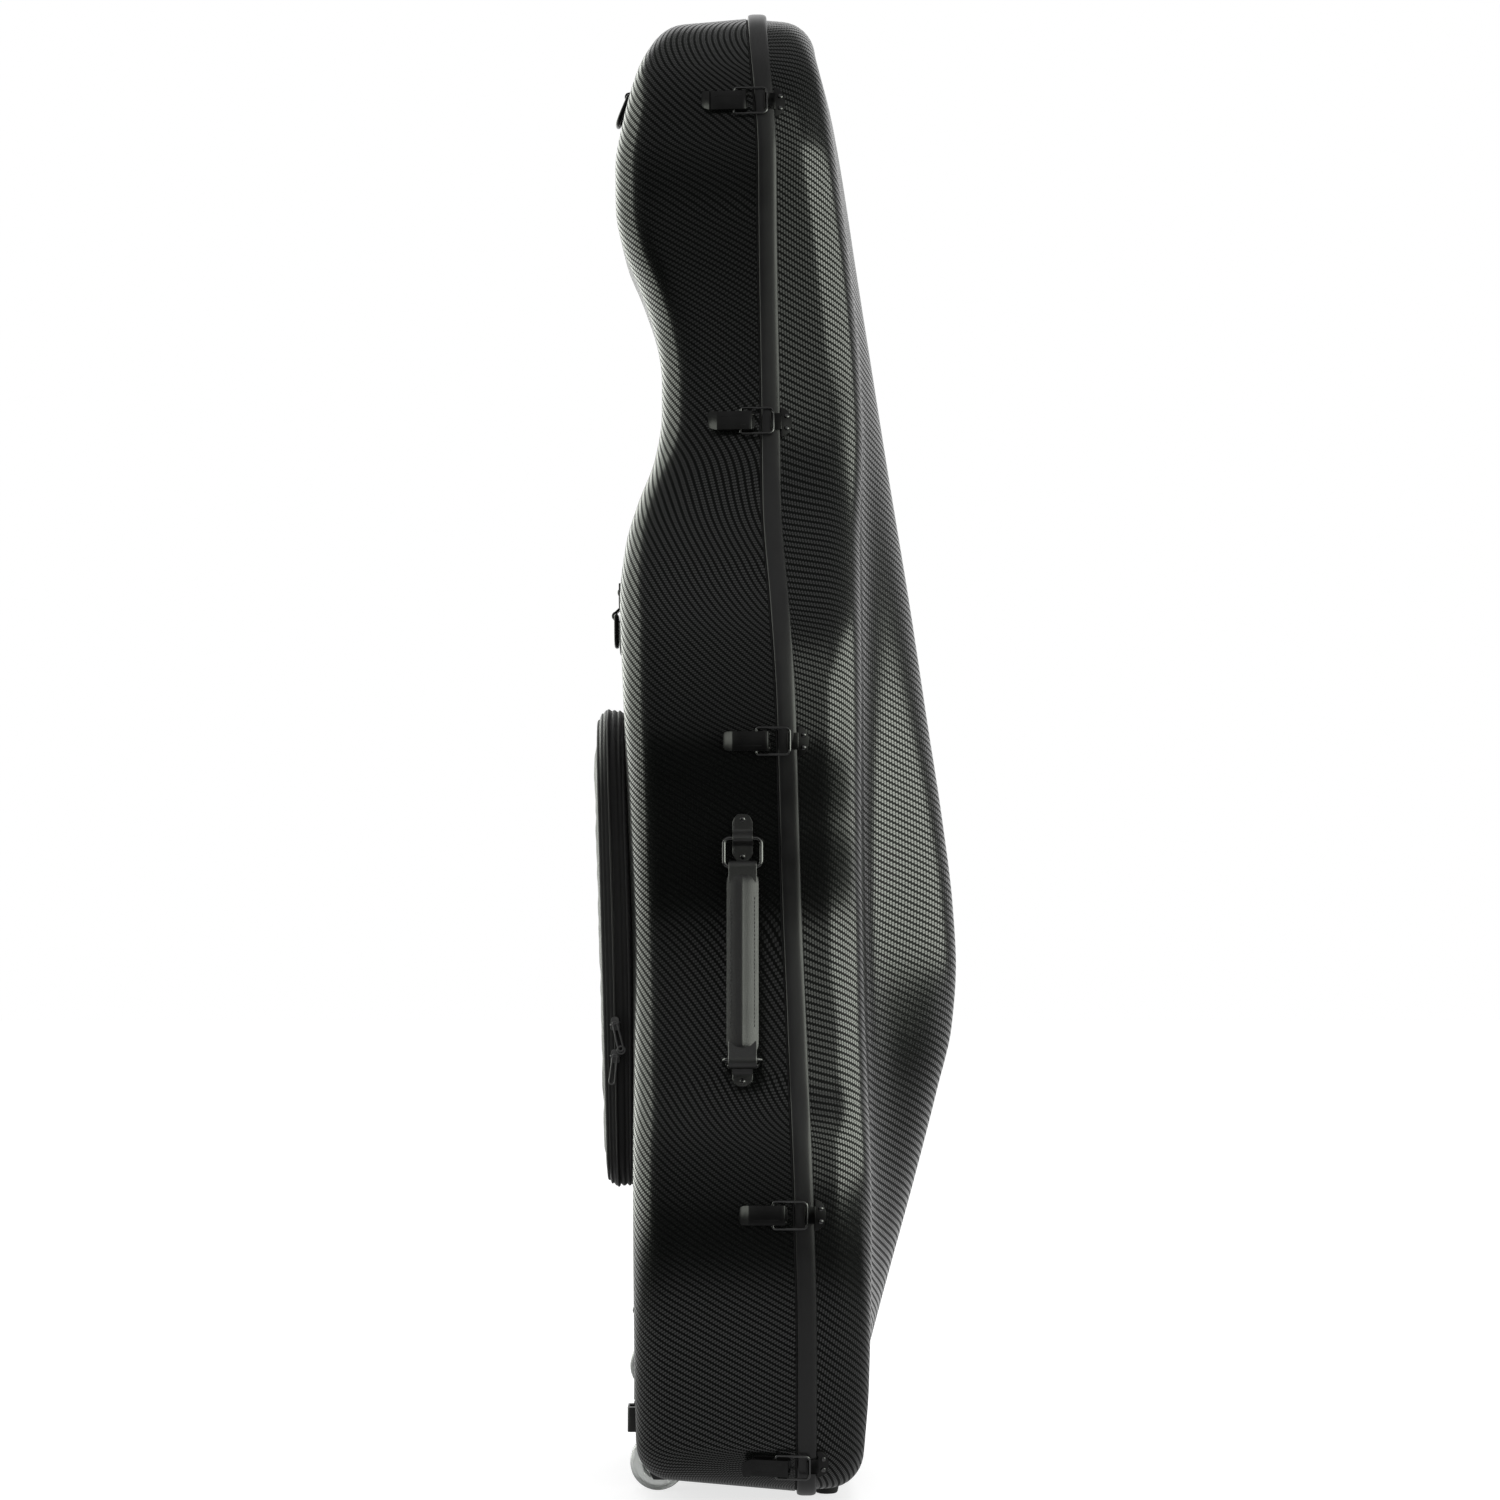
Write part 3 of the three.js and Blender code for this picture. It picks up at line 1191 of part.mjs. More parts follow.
// The soft pocket on the back, with its two zip sliders.
function addPocket() {
  const shape = new THREE.Shape();
  const edge = pocketHalfWidth - pocketEdge;
  const low = pocketBottom + pocketEdge;
  const high = pocketTop - pocketEdge;
  const [wide, tight] = [pocketTopRadius, pocketBottomRadius];
  shape.moveTo(-edge + tight, low);
  shape.absarc(edge - tight, low + tight, tight, -Math.PI / 2, 0);
  shape.absarc(edge - wide, high - wide, wide, 0, Math.PI / 2);
  shape.absarc(-edge + wide, high - wide, wide, Math.PI / 2, Math.PI);
  shape.absarc(-edge + tight, low + tight, tight, Math.PI, Math.PI * 1.5);
  const slab = new THREE.ExtrudeGeometry(shape, {
    depth: pocketThickness - pocketEdge,
    bevelThickness: pocketEdge,
    bevelSize: pocketEdge,
    bevelSegments: 2,
    curveSegments: 4,
  });
  // The extrusion's +z becomes -y: its outer face lies furthest back, leaning with the case.
  slab.translate(0, -pocketTop, 0).rotateX(Math.PI / 2).translate(0, pocketEdge, 0);
  slab.rotateX(-pocketLean).translate(0, pocketBehindDatum - pocketEdge * 2, pocketTop);
  const shell = hullSolid(backSide, pocketClear);
  const pocket = solidFrom(slab).subtract(shell);
  addPiece(caseGroup, 'back_pocket', geometryFrom(pocket), fabric);
  const out = new THREE.Vector3(-1, 0, 0);
  const front = new THREE.Vector3(0, -1, 0);
  sliderRises.forEach((rise, i) => {
    const place = new THREE.Matrix4().makeRotationX(-pocketLean);
    place.multiply(new THREE.Matrix4().makeBasis(out, front, new THREE.Vector3(0, 0, 1)));
    const behind = pocketBehindDatum - sliderInset;
    place.setPosition(-pocketHalfWidth - seatGap, behind, pocketBottom + rise);
    const group = new THREE.Group();
    group.name = `zip_slider_pivot_${i + 1}`;
    group.applyMatrix4(place);
    caseGroup.add(group);
    const body = boxSolid(
      new THREE.Vector3(0, -sliderWidth / 2, -sliderLength / 2),
      new THREE.Vector3(sliderThickness, sliderWidth / 2, sliderLength / 2),
    );
    const bridgeX = sliderThickness + pullEyeRadius + pinClearance;
    const bridgeHalf = pullWidth / 2 + pinClearance + bridgeRadius;
    const posts = [-1, 1].map((sign) => boxSolid(
      new THREE.Vector3(sliderThickness / 2, sign * bridgeHalf - bridgeRadius, -bridgeRadius),
      new THREE.Vector3(bridgeX + bridgeRadius, sign * bridgeHalf + bridgeRadius, bridgeRadius),
    ));
    const lean = new THREE.Matrix4().makeRotationX(pullLean[i]);
    const across = new THREE.Vector3(0, 1, 0);
    const beam = rodSolid(
      new THREE.Vector3(bridgeX, 0, 0), across, bridgeHalf * 2, bridgeRadius, thinSides,
    );
    const bridge = placed(geometryFrom(joined([...posts, beam])), lean);
    addPiece(group, `zip_slider_${i + 1}`, geometryFrom(joined([body, bridge])), blackMetal);
    const pullGroup = new THREE.Group();
    pullGroup.name = `zip_pull_pivot_${i + 1}`;
    pullGroup.applyMatrix4(lean.clone().multiply(moved(bridgeX, 0, 0)));
    group.add(pullGroup);
    const tab = boxSolid(
      new THREE.Vector3(-pullThickness / 2, -pullWidth / 2, -pullLength),
      new THREE.Vector3(pullThickness / 2, pullWidth / 2, 0),
    );
    const eye = rodSolid(new THREE.Vector3(), across, pullWidth, pullEyeRadius, pinSides);
    const bore = bridgeRadius + pinClearance;
    const hole = rodSolid(new THREE.Vector3(), across, pullWidth * 2, bore, pinSides);
    const pull = joined([tab, eye]).subtract(hole);
    addPiece(pullGroup, `zip_pull_${i + 1}`, geometryFrom(pull), blackMetal);
  });
}

// Foam inside the back shell: a neck cradle with its strap, and the endpin block.
function addInside() {
  const room = hullSolid(backSide, -(wallThickness + linerGap + linerThickness + seatGap));
  const low = cradleHeight - cradleLength / 2;
  const high = cradleHeight + cradleLength / 2;
  const block = boxSolid(
    new THREE.Vector3(-cradleHalfWidth, cradleFront, low),
    new THREE.Vector3(cradleHalfWidth, backDepth, high),
  ).intersect(room);
  const channel = rodSolid(
    new THREE.Vector3(0, cradleFront, cradleHeight), new THREE.Vector3(0, 0, 1),
    cradleLength + overrun, neckRadius, footSides,
  );
  addPiece(caseGroup, 'neck_cradle', geometryFrom(block.subtract(channel)), plush);
  const strapBack = cradleFront - seatGap;
  const strap = boxSolid(
    new THREE.Vector3(-cradleHalfWidth, strapBack - strapThickness, cradleHeight - strapWidth / 2),
    new THREE.Vector3(cradleHalfWidth, strapBack, cradleHeight + strapWidth / 2),
  );
  addPiece(caseGroup, 'neck_strap', geometryFrom(strap), fabric);
  const floor = floorClearance + wallThickness + linerGap;
  const pad = boxSolid(
    new THREE.Vector3(-endpinBlockHalf, 0, floor),
    new THREE.Vector3(endpinBlockHalf, endpinBlockDepth, floor + linerThickness + endpinBlockHeight),
  ).intersect(room);
  const hole = rodSolid(
    new THREE.Vector3(0, endpinBlockDepth / 2, floor + linerThickness + endpinBlockHeight),
    new THREE.Vector3(0, 0, 1), endpinBlockHeight, endpinRadius, footSides,
  );
  addPiece(caseGroup, 'endpin_block', geometryFrom(pad.subtract(hole)), plush);
}

const lidGroup = new THREE.Group();
lidGroup.name = 'lid_group';
caseGroup.add(lidGroup);

addShells(lidGroup);
addRim(lidGroup);
latchHeights.forEach((height, index) => addLatch(lidGroup, height, index));
hingeHeights.forEach((height, index) => addHinge(lidGroup, height, index));
addHandle();
addAnchor(0, anchorHeadHeight, 'head');
addAnchor(-anchorUpperSpread, anchorUpperHeight, 'left');
addAnchor(anchorUpperSpread, anchorUpperHeight, 'right');
wheelPlaces.forEach(addCarrier);
[-1, 1].forEach((side) => addFoot(lidGroup, side));
addPocket();
addInside();

// The origin is the middle of the footprint, on the floor.
const extent = new THREE.Box3().setFromObject(caseGroup);
const middle = extent.getCenter(new THREE.Vector3());
caseGroup.position.set(-middle.x, -middle.y, -extent.min.z);

export default caseGroup;
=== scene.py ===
import math

import bmesh
import bpy
import numpy as np
from mathutils import Matrix, Vector


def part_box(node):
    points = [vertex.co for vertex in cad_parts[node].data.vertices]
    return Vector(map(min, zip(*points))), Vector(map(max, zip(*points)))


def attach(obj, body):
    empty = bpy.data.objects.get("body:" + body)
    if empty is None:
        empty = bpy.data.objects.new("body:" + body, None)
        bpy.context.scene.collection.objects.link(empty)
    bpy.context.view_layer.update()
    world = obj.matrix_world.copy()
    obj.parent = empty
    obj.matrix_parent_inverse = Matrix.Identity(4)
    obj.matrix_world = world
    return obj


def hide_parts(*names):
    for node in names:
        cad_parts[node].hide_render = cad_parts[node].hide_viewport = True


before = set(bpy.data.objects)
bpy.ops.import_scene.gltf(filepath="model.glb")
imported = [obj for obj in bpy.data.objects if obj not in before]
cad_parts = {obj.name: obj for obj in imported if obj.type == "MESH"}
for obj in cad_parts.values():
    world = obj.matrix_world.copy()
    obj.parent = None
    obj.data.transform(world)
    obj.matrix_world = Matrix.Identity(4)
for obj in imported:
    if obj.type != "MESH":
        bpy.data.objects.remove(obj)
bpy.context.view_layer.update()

# the case's own measures, in millimetres, depths positive towards the lid
case = {
    "height": 1343, "clearance": 8, "backDepth": 146, "lidDepth": 167, "swing": 18,
    "bottomHalf": 172, "bottomRadius": 60, "lower": 250, "waist": 188, "upper": 203,
    "neck": 105, "head": 114, "wall": 2.4, "linerGap": 1.6, "liner": 6, "seat": 0.3,
    "partingGap": 1.8, "sideRadius": 40, "endRadius": 32, "draft": math.radians(5),
    "ridgeHalf": 122, "ridgeNeckHalf": 96, "spineLow": 120, "spineHigh": 96,
    "beadWidth": 17, "beadHeight": 4, "turnWeight": 90,
}
partingShares = [
    (0, .89), (.105, .89), (.2, .73), (.263, .55), (.33, .36), (.39, .18), (.458, .03),
    (.526, -.12), (.588, -.41), (.658, -.79), (.727, -.85), (.843, -.99), (.894, -1.02), (1, -1.52),
]
backShares = [
    (0, .845), (.1, .86), (.32, .872), (.46, .908), (.54, .938), (.597, .96), (.63, .93),
    (.66, .855), (.69, .755), (.722, .71), (.745, .71), (.775, .75), (.806, .842), (.835, .95),
    (.862, .998), (.889, 1), (.92, .955), (.951, .872), (1, .62),
]
plateauShares = [
    (0, .43), (.035, .462), (.08, .487), (.18, .5), (.32, .475), (.5, .455), (.6, .455),
    (.7, .45), (.74, .435), (.806, .4), (.88, .335), (.93, .275), (1, .145),
]
crownShares = [
    (0, .43), (.035, .462), (.075, .49), (.1, .545), (.139, .631), (.202, .77), (.264, .898),
    (.306, .976), (.348, 1), (.389, .982), (.45, .922), (.514, .843), (.597, .742), (.681, .631),
    (.764, .525), (.826, .446), (.889, .368), (.93, .307), (.972, .218), (1, .155),
]
boutShares = [
    (.175, 0, "lower", "waist"), (.235, .1, "lower", "waist"), (.285, .5, "lower", "waist"),
    (.37, 1, "lower", "waist"), (.445, .45, "waist", "upper"), (.514, 1, "waist", "upper"),
    (.57, .14, "upper", "neck"), (.622, .46, "upper", "neck"), (.677, .78, "upper", "neck"),
    (.735, .95, "upper", "neck"), (.8, 1, "upper", "neck"), (.855, .4, "neck", "head"),
    (.905, 1, "neck", "head"),
]
headTopShares = [(.957, .9), (.988, .56)]
millimetre = 0.001


def lerp(a, b, t):
    return a + (b - a) * t


def smoothThrough(stations):
    at = np.array([s[0] for s in stations], float)
    value = np.array([s[1] for s in stations], float)
    secant = np.diff(value) / np.diff(at)
    slope = np.zeros(len(at))
    for i in range(1, len(at) - 1):
        low, high = secant[i - 1], secant[i]
        slope[i] = 0 if low * high <= 0 else 2 * low * high / (low + high)

    def curve(place):
        place = np.clip(np.asarray(place, float), at[0], at[-1])
        i = np.clip(np.searchsorted(at, place, side="right") - 1, 0, len(at) - 2)
        span = at[i + 1] - at[i]
        t = (place - at[i]) / span
        rise = value[i + 1] - value[i]
        bend = slope[i] * span * t * (1 - t) ** 2 - slope[i + 1] * span * t * t * (1 - t)
        return value[i] + rise * t * t * (3 - 2 * t) + bend

    return curve


partingCurve, backCurve = smoothThrough(partingShares), smoothThrough(backShares)
plateauCurve, crownCurve = smoothThrough(plateauShares), smoothThrough(crownShares)


def partingDepth(z):
    return case["swing"] * partingCurve(np.asarray(z, float) / case["height"])


def backSurface(x, z):
    return -case["backDepth"] * backCurve(np.asarray(z, float) / case["height"])


def ridgeReach(share):
    t = np.clip((share - 0.5) / 0.25, 0, 1)
    return lerp(case["ridgeHalf"], case["ridgeNeckHalf"], t * t * (3 - 2 * t))


def lidSurface(x, z):
    share = np.asarray(z, float) / case["height"]
    plateau, crown = case["lidDepth"] * plateauCurve(share), case["lidDepth"] * crownCurve(share)
    across = np.minimum(np.abs(x) / ridgeReach(share), 1)
    return plateau + (crown - plateau) * (0.5 + 0.5 * np.cos(math.pi * across))


def catmullRom(points, samples):
    pts = np.array(points, float)
    n = len(pts)
    made = []
    for s in range(samples + 1):
        place = n * s / samples
        i, w = int(place), place - int(place)
        p0, p1, p2, p3 = (pts[(i + k) % n] for k in (-1, 0, 1, 2))
        d0, d1, d2 = (math.sqrt(np.linalg.norm(b - a)) for a, b in ((p0, p1), (p1, p2), (p2, p3)))
        t1 = ((p1 - p0) / d0 - (p2 - p0) / (d0 + d1) + (p2 - p1) / d1) * d1
        t2 = ((p2 - p1) / d1 - (p3 - p1) / (d1 + d2) + (p3 - p2) / d2) * d1
        a3, a2 = 2 * p1 - 2 * p2 + t1 + t2, -3 * p1 + 3 * p2 - 2 * t1 - t2
        made.append(a3 * w ** 3 + a2 * w ** 2 + t1 * w + p1)
    return np.array(made)


def outline(steps, samples):  # points and outward normals round the case, in x and z
    h, low, radius, half = case["height"], case["clearance"], case["bottomRadius"], case["bottomHalf"]
    side = [(0, low), (half, low)]
    for degrees in (-60, -30, 0):
        a = math.radians(degrees)
        side.append((half + radius * math.cos(a), low + radius + radius * math.sin(a)))
    side += [(lerp(case[a], case[b], t), share * h) for share, t, a, b in boutShares]
    side += [(case["head"] * part, share * h) for share, part in headTopShares]
    other = [(-x, z) for x, z in side[1:]][::-1]
    fine = catmullRom(side + [(0, h - case["beadHeight"])] + other, samples)[: samples // 2 + 1]
    fine[0, 0] = fine[-1, 0] = 0
    step = np.diff(fine, axis=0)
    after = np.vstack([step[1:], step[-1:]])
    turn = np.abs(np.arctan2(step[:, 0] * after[:, 1] - step[:, 1] * after[:, 0], (step * after).sum(1)))
    reach = np.concatenate([[0], np.cumsum(np.linalg.norm(step, axis=1) + case["turnWeight"] * turn)])
    wanted = np.linspace(0, reach[-1], steps // 2 + 1)
    one = np.stack([np.interp(wanted, reach, fine[:, k]) for k in (0, 1)], 1)
    one[0, 0] = one[-1, 0] = 0
    points = np.vstack([one, one[1:-1][::-1] * (-1, 1)])
    along = np.roll(points, -1, 0) - np.roll(points, 1, 0)
    along /= np.linalg.norm(along, axis=1)[:, None]
    normals = np.stack([along[:, 1], -along[:, 0]], 1)
    normals[0, 0] = normals[steps // 2, 0] = 0
    return points, normals


coarseLine = outline(48, 900)  # the line that the fittings of the frame are set on
fineLine = outline(420, 3600)
linerLine = outline(160, 1800)

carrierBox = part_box("wheel_lower_left"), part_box("wheel_lower_right")
caseShift = np.array([
    sum((low + high).x for low, high in carrierBox) / 4,
    (carrierBox[0][0] + carrierBox[0][1]).y / 2 - (case["backDepth"] - 40) * millimetre, 0,
])


def toFrame(points):
    return np.asarray(points, float) * millimetre + caseShift


def fromFrame(places):
    return (np.asarray(places, float) - caseShift) / millimetre


# shapes: every part is points in millimetres and faces
def mergeParts(parts):
    points, faces, marks, start = [], [], [], 0
    for part in parts:
        points.append(np.asarray(part[0], float).reshape(-1, 3))
        faces += [[start + i for i in face] for face in part[1]]
        marks += [part[2] if len(part) > 2 else 0] * len(part[1])
        start += len(points[-1])
    return np.vstack(points), faces, marks


def gridPart(rows, ringed=True, looped=False, caps=True, mark=0):
    rows = np.asarray(rows, float)
    r, c = rows.shape[:2]
    faces = []
    for i in range(r if looped else r - 1):
        here, following = i * c, ((i + 1) % r) * c
        for j in range(c if ringed else c - 1):
            k = (j + 1) % c
            faces.append([here + j, here + k, following + k, following + j])
    if caps and ringed and not looped:
        faces += [list(range(c))[::-1], list(range((r - 1) * c, r * c))]
    return rows.reshape(-1, 3), faces, mark


def boxPart(low, high, mark=0):
    (a, b, c), (d, e, f) = low, high
    rows = [[(a, b, z), (d, b, z), (d, e, z), (a, e, z)] for z in (c, f)]
    return gridPart(rows, mark=mark)


def prismPart(profile, low, high, axes="xyz", mark=0):  # a profile in two axes, run along the third
    order = ["xyz".index(a) for a in axes]
    rows = np.zeros((2, len(profile), 3))
    for r, level in enumerate((low, high)):
        for i, (u, v) in enumerate(profile):
            rows[r, i, order[0]], rows[r, i, order[1]], rows[r, i, order[2]] = u, v, level
    return gridPart(rows, mark=mark)


def tubePart(path, radius, sides=12, looped=False, axis=None, mark=0):
    path = np.asarray(path, float)
    if looped:
        along = np.roll(path, -1, 0) - np.roll(path, 1, 0)
    else:
        along = np.gradient(path, axis=0)
    along /= np.linalg.norm(along, axis=1)[:, None]
    radii = np.broadcast_to(np.asarray(radius, float), len(path))
    rows, u = [], None
    for point, t, r in zip(path, along, radii):
        if axis is not None:
            u = np.asarray(axis, float)
        elif u is None:
            u = np.cross(t, (0, 0, 1) if abs(t[2]) < 0.9 else (1, 0, 0))
        u = u - t * (u @ t)
        u = u / np.linalg.norm(u)
        v = np.cross(t, u)
        a = np.linspace(0, 2 * math.pi, sides, endpoint=False)[:, None]
        rows.append(point + r * (np.cos(a) * u + np.sin(a) * v))
    return gridPart(rows, looped=looped, mark=mark)


def lathePart(profile, centre, axis, steps=32, looped=False, mark=0):  # profile of radius and height
    axis = np.asarray(axis, float) / np.linalg.norm(axis)
    u = np.cross(axis, (0, 0, 1) if abs(axis[2]) < 0.9 else (1, 0, 0))
    u /= np.linalg.norm(u)
    v = np.cross(axis, u)
    a = np.linspace(0, 2 * math.pi, steps, endpoint=False)[:, None]
    rows = [np.asarray(centre) + axis * h + r * (np.cos(a) * u + np.sin(a) * v) for r, h in profile]
    return gridPart(rows, looped=looped, mark=mark)


def roundedPath(corners, radius, steps=5, looped=False):  # a polyline whose corners are turned
    corners = np.asarray(corners, float)
    n, made = len(corners), []
    for i, p in enumerate(corners):
        if not looped and i in (0, n - 1):
            made.append(p)
            continue
        a, b = corners[i - 1] - p, corners[(i + 1) % n] - p
        la, lb = np.linalg.norm(a), np.linalg.norm(b)
        a, b = a / la, b / lb
        angle = math.acos(max(-1, min(1, a @ b)))
        r = radius[i] if hasattr(radius, "__len__") else radius
        cut = min(r / math.tan(angle / 2), 0.49 * min(la, lb))
        r = cut * math.tan(angle / 2)
        bisector = (a + b) / np.linalg.norm(a + b)
        centre = p + bisector * r / math.sin(angle / 2)
        start, end = p + a * cut - centre, p + b * cut - centre
        sweep = math.pi - angle
        for k in range(steps + 1):
            t = k / steps
            w0, w1 = math.sin((1 - t) * sweep) / math.sin(sweep), math.sin(t * sweep) / math.sin(sweep)
            made.append(centre + start * w0 + end * w1)
    return np.array(made)


def ribbonPart(path, halves, thickness, sideways=(0, 1, 0), mark=0):  # a strap laid along a path
    path, s = np.asarray(path, float), np.asarray(sideways, float)
    along = np.gradient(path, axis=0)
    along /= np.linalg.norm(along, axis=1)[:, None]
    halves = np.broadcast_to(np.asarray(halves, float), len(path))
    rows = []
    for p, t, half in zip(path, along, halves):
        out = np.cross(s, t)
        e = min(thickness * 0.3, half * 0.4)
        shape = [(-half, -thickness / 2 + e), (-half + e, -thickness / 2), (half - e, -thickness / 2),
                 (half, -thickness / 2 + e), (half, thickness / 2 - e), (half - e, thickness / 2),
                 (-half + e, thickness / 2), (-half, thickness / 2 - e)]
        rows.append([p + s * a + out * b for a, b in shape])
    return gridPart(rows, mark=mark)


def makeMesh(name, parts, matrix=None, bevel=0, segments=2, sharp=38, weld=True, recalc=True, uv=None):
    points, faces, marks = mergeParts(parts)
    if matrix is not None:
        m = np.array(matrix)
        points = points @ m[:3, :3].T + m[:3, 3]
    mesh = bpy.data.meshes.new(name)
    mesh.from_pydata(toFrame(points).tolist(), [], faces)
    mesh.polygons.foreach_set("material_index", marks)
    if uv is not None:
        layer = mesh.uv_layers.new(name="cloth")
        corner = np.zeros(len(mesh.loops), np.int32)
        mesh.loops.foreach_get("vertex_index", corner)
        layer.data.foreach_set("uv", np.asarray(uv, np.float32)[corner].ravel())
    work = bmesh.new()
    work.from_mesh(mesh)
    if weld:
        bmesh.ops.remove_doubles(work, verts=work.verts, dist=2e-6)
    if recalc:
        bmesh.ops.recalc_face_normals(work, faces=work.faces)
    elif work.calc_volume(signed=True) < 0:
        bmesh.ops.reverse_faces(work, faces=work.faces)
    if bevel:
        limit = math.radians(sharp)
        edges = [e for e in work.edges if len(e.link_faces) == 2 and e.calc_face_angle(0) > limit]
        bmesh.ops.bevel(work, geom=edges, offset=bevel * millimetre, segments=segments,
                        profile=0.5, affect="EDGES", clamp_overlap=True)
    work.to_mesh(mesh)
    work.free()
    mesh.shade_smooth()
    mesh.set_sharp_from_angle(angle=math.radians(sharp))
    return mesh


def makePiece(name, mesh, finishes, body, nodes=()):
    piece = bpy.data.objects.new(name, mesh)
    bpy.context.scene.collection.objects.link(piece)
    if finishes:
        mesh.materials.clear()  # also unmarks the faces: all of them show the first finish
        for finish in finishes:
            mesh.materials.append(finish)
    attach(piece, body)
    if nodes:
        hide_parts(*nodes)
    return piece


def evaluatedMesh(holder, name):  # the plain mesh that an object's modifiers give
    graph = bpy.context.evaluated_depsgraph_get()
    mesh = bpy.data.meshes.new_from_object(holder.evaluated_get(graph), depsgraph=graph)
    mesh.name = name
    old = holder.data
    bpy.data.objects.remove(holder)
    if old.users == 0:
        bpy.data.meshes.remove(old)
    return mesh


def holderFor(mesh):
    holder = bpy.data.objects.new("holder", mesh)
    bpy.context.scene.collection.objects.link(holder)
    return holder


def cutMesh(mesh, cutters, operation="DIFFERENCE"):  # closed cutters on a closed mesh, one after another
    for cutter in cutters:
        holder, other = holderFor(mesh), holderFor(cutter)
        cut = holder.modifiers.new("cut", "BOOLEAN")
        cut.operation, cut.object, cut.solver = operation, other, "MANIFOLD"
        mesh = evaluatedMesh(holder, "cut")
        bpy.data.objects.remove(other)
        bpy.data.meshes.remove(cutter)
    mesh.shade_smooth()
    mesh.set_sharp_from_angle(angle=math.radians(38))
    return mesh


# shader maths
class Field:  # a socket that takes part in expressions
    def __init__(self, tree, socket):
        self.tree, self.socket = tree, socket

    def math(self, operation, *values, first=None):
        node = self.tree.nodes.new("ShaderNodeMath")
        node.operation = operation
        given = [self, *values] if first is None else [first, self, *values]
        for socket, value in zip(node.inputs, given):
            if isinstance(value, Field):
                self.tree.links.new(value.socket, socket)
            else:
                socket.default_value = value
        return Field(self.tree, node.outputs[0])

    def __add__(self, other): return self.math("ADD", other)
    def __radd__(self, other): return self.math("ADD", other)
    def __sub__(self, other): return self.math("SUBTRACT", other)
    def __rsub__(self, other): return self.math("SUBTRACT", first=other)
    def __mul__(self, other): return self.math("MULTIPLY", other)
    def __rmul__(self, other): return self.math("MULTIPLY", other)
    def __truediv__(self, other): return self.math("DIVIDE", other)
    def __rtruediv__(self, other): return self.math("DIVIDE", first=other)
    def __mod__(self, other): return self.math("FLOORED_MODULO", other)
    def __pow__(self, other): return self.math("POWER", other)
    def __lt__(self, other): return self.math("LESS_THAN", other)
    def __gt__(self, other): return self.math("GREATER_THAN", other)
    def __abs__(self): return self.math("ABSOLUTE")
    def __neg__(self): return self.math("MULTIPLY", -1)

    def within(self, low, high):
        return self.math("MAXIMUM", low).math("MINIMUM", high)


class Finish:  # one material and its nodes
    def __init__(self, name):
        self.material = bpy.data.materials.new(name)
        self.material.use_nodes = True
        self.tree = self.material.node_tree
        self.tree.nodes.clear()

    def node(self, kind, settings=None, inputs=None, output=0):
        made = self.tree.nodes.new("ShaderNode" + kind)
        for key, value in (settings or {}).items():
            if key == "stops":
                elements = made.color_ramp.elements
                while len(elements) < len(value):
                    elements.new(1)
                for element, (place, colour) in zip(elements, value):
                    element.position, element.color = place, colour
            else:
                setattr(made, key, value)
        for key, value in (inputs or {}).items():
            if isinstance(value, Field):
                self.tree.links.new(value.socket, made.inputs[key])
            else:
                made.inputs[key].default_value = value
        return Field(self.tree, made.outputs[output])

    def place(self, kind="Object"):
        return self.node("TexCoord", output=kind)

    def axis(self, vector, name):
        return self.node("SeparateXYZ", inputs={0: vector}, output=name)

    def noise(self, scale, detail=3, roughness=0.55, vector=None):
        where = vector or self.place()
        return self.node("TexNoise", inputs={"Vector": where, "Scale": scale, "Detail": detail,
                                             "Roughness": roughness}, output="Fac")

    def mix(self, factor, a, b):
        return self.node("Mix", {"data_type": "RGBA"}, {0: factor, 6: a, 7: b}, output=2)

    def bump(self, height, distance, strength=1.0, normal=None):
        inputs = {"Height": height, "Distance": distance, "Strength": strength}
        if normal is not None:
            inputs["Normal"] = normal
        return self.node("Bump", inputs=inputs, output="Normal")

    def close(self, inputs):
        shader = self.node("BsdfPrincipled", inputs=inputs)
        end = self.tree.nodes.new("ShaderNodeOutputMaterial")
        self.tree.links.new(shader.socket, end.inputs["Surface"])
        return self.material


def grey(value, warm=0.0, alpha=1):
    return (value * (1 + warm), value, value * (1 - warm), alpha)


twill = {
    "tow": 0.00187, "lidSlope": -0.6, "backSlope": 0.72, "ridgeDraw": 0.6,
    "warp": (0.0028, 0.0034, 0.0030, 1), "weft": (0.0060, 0.0072, 0.0062, 1),
    "warpRoughness": 0.5, "weftRoughness": 0.34, "relief": 0.00002, "coat": 1.0, "coatRoughness": 0.2,
}


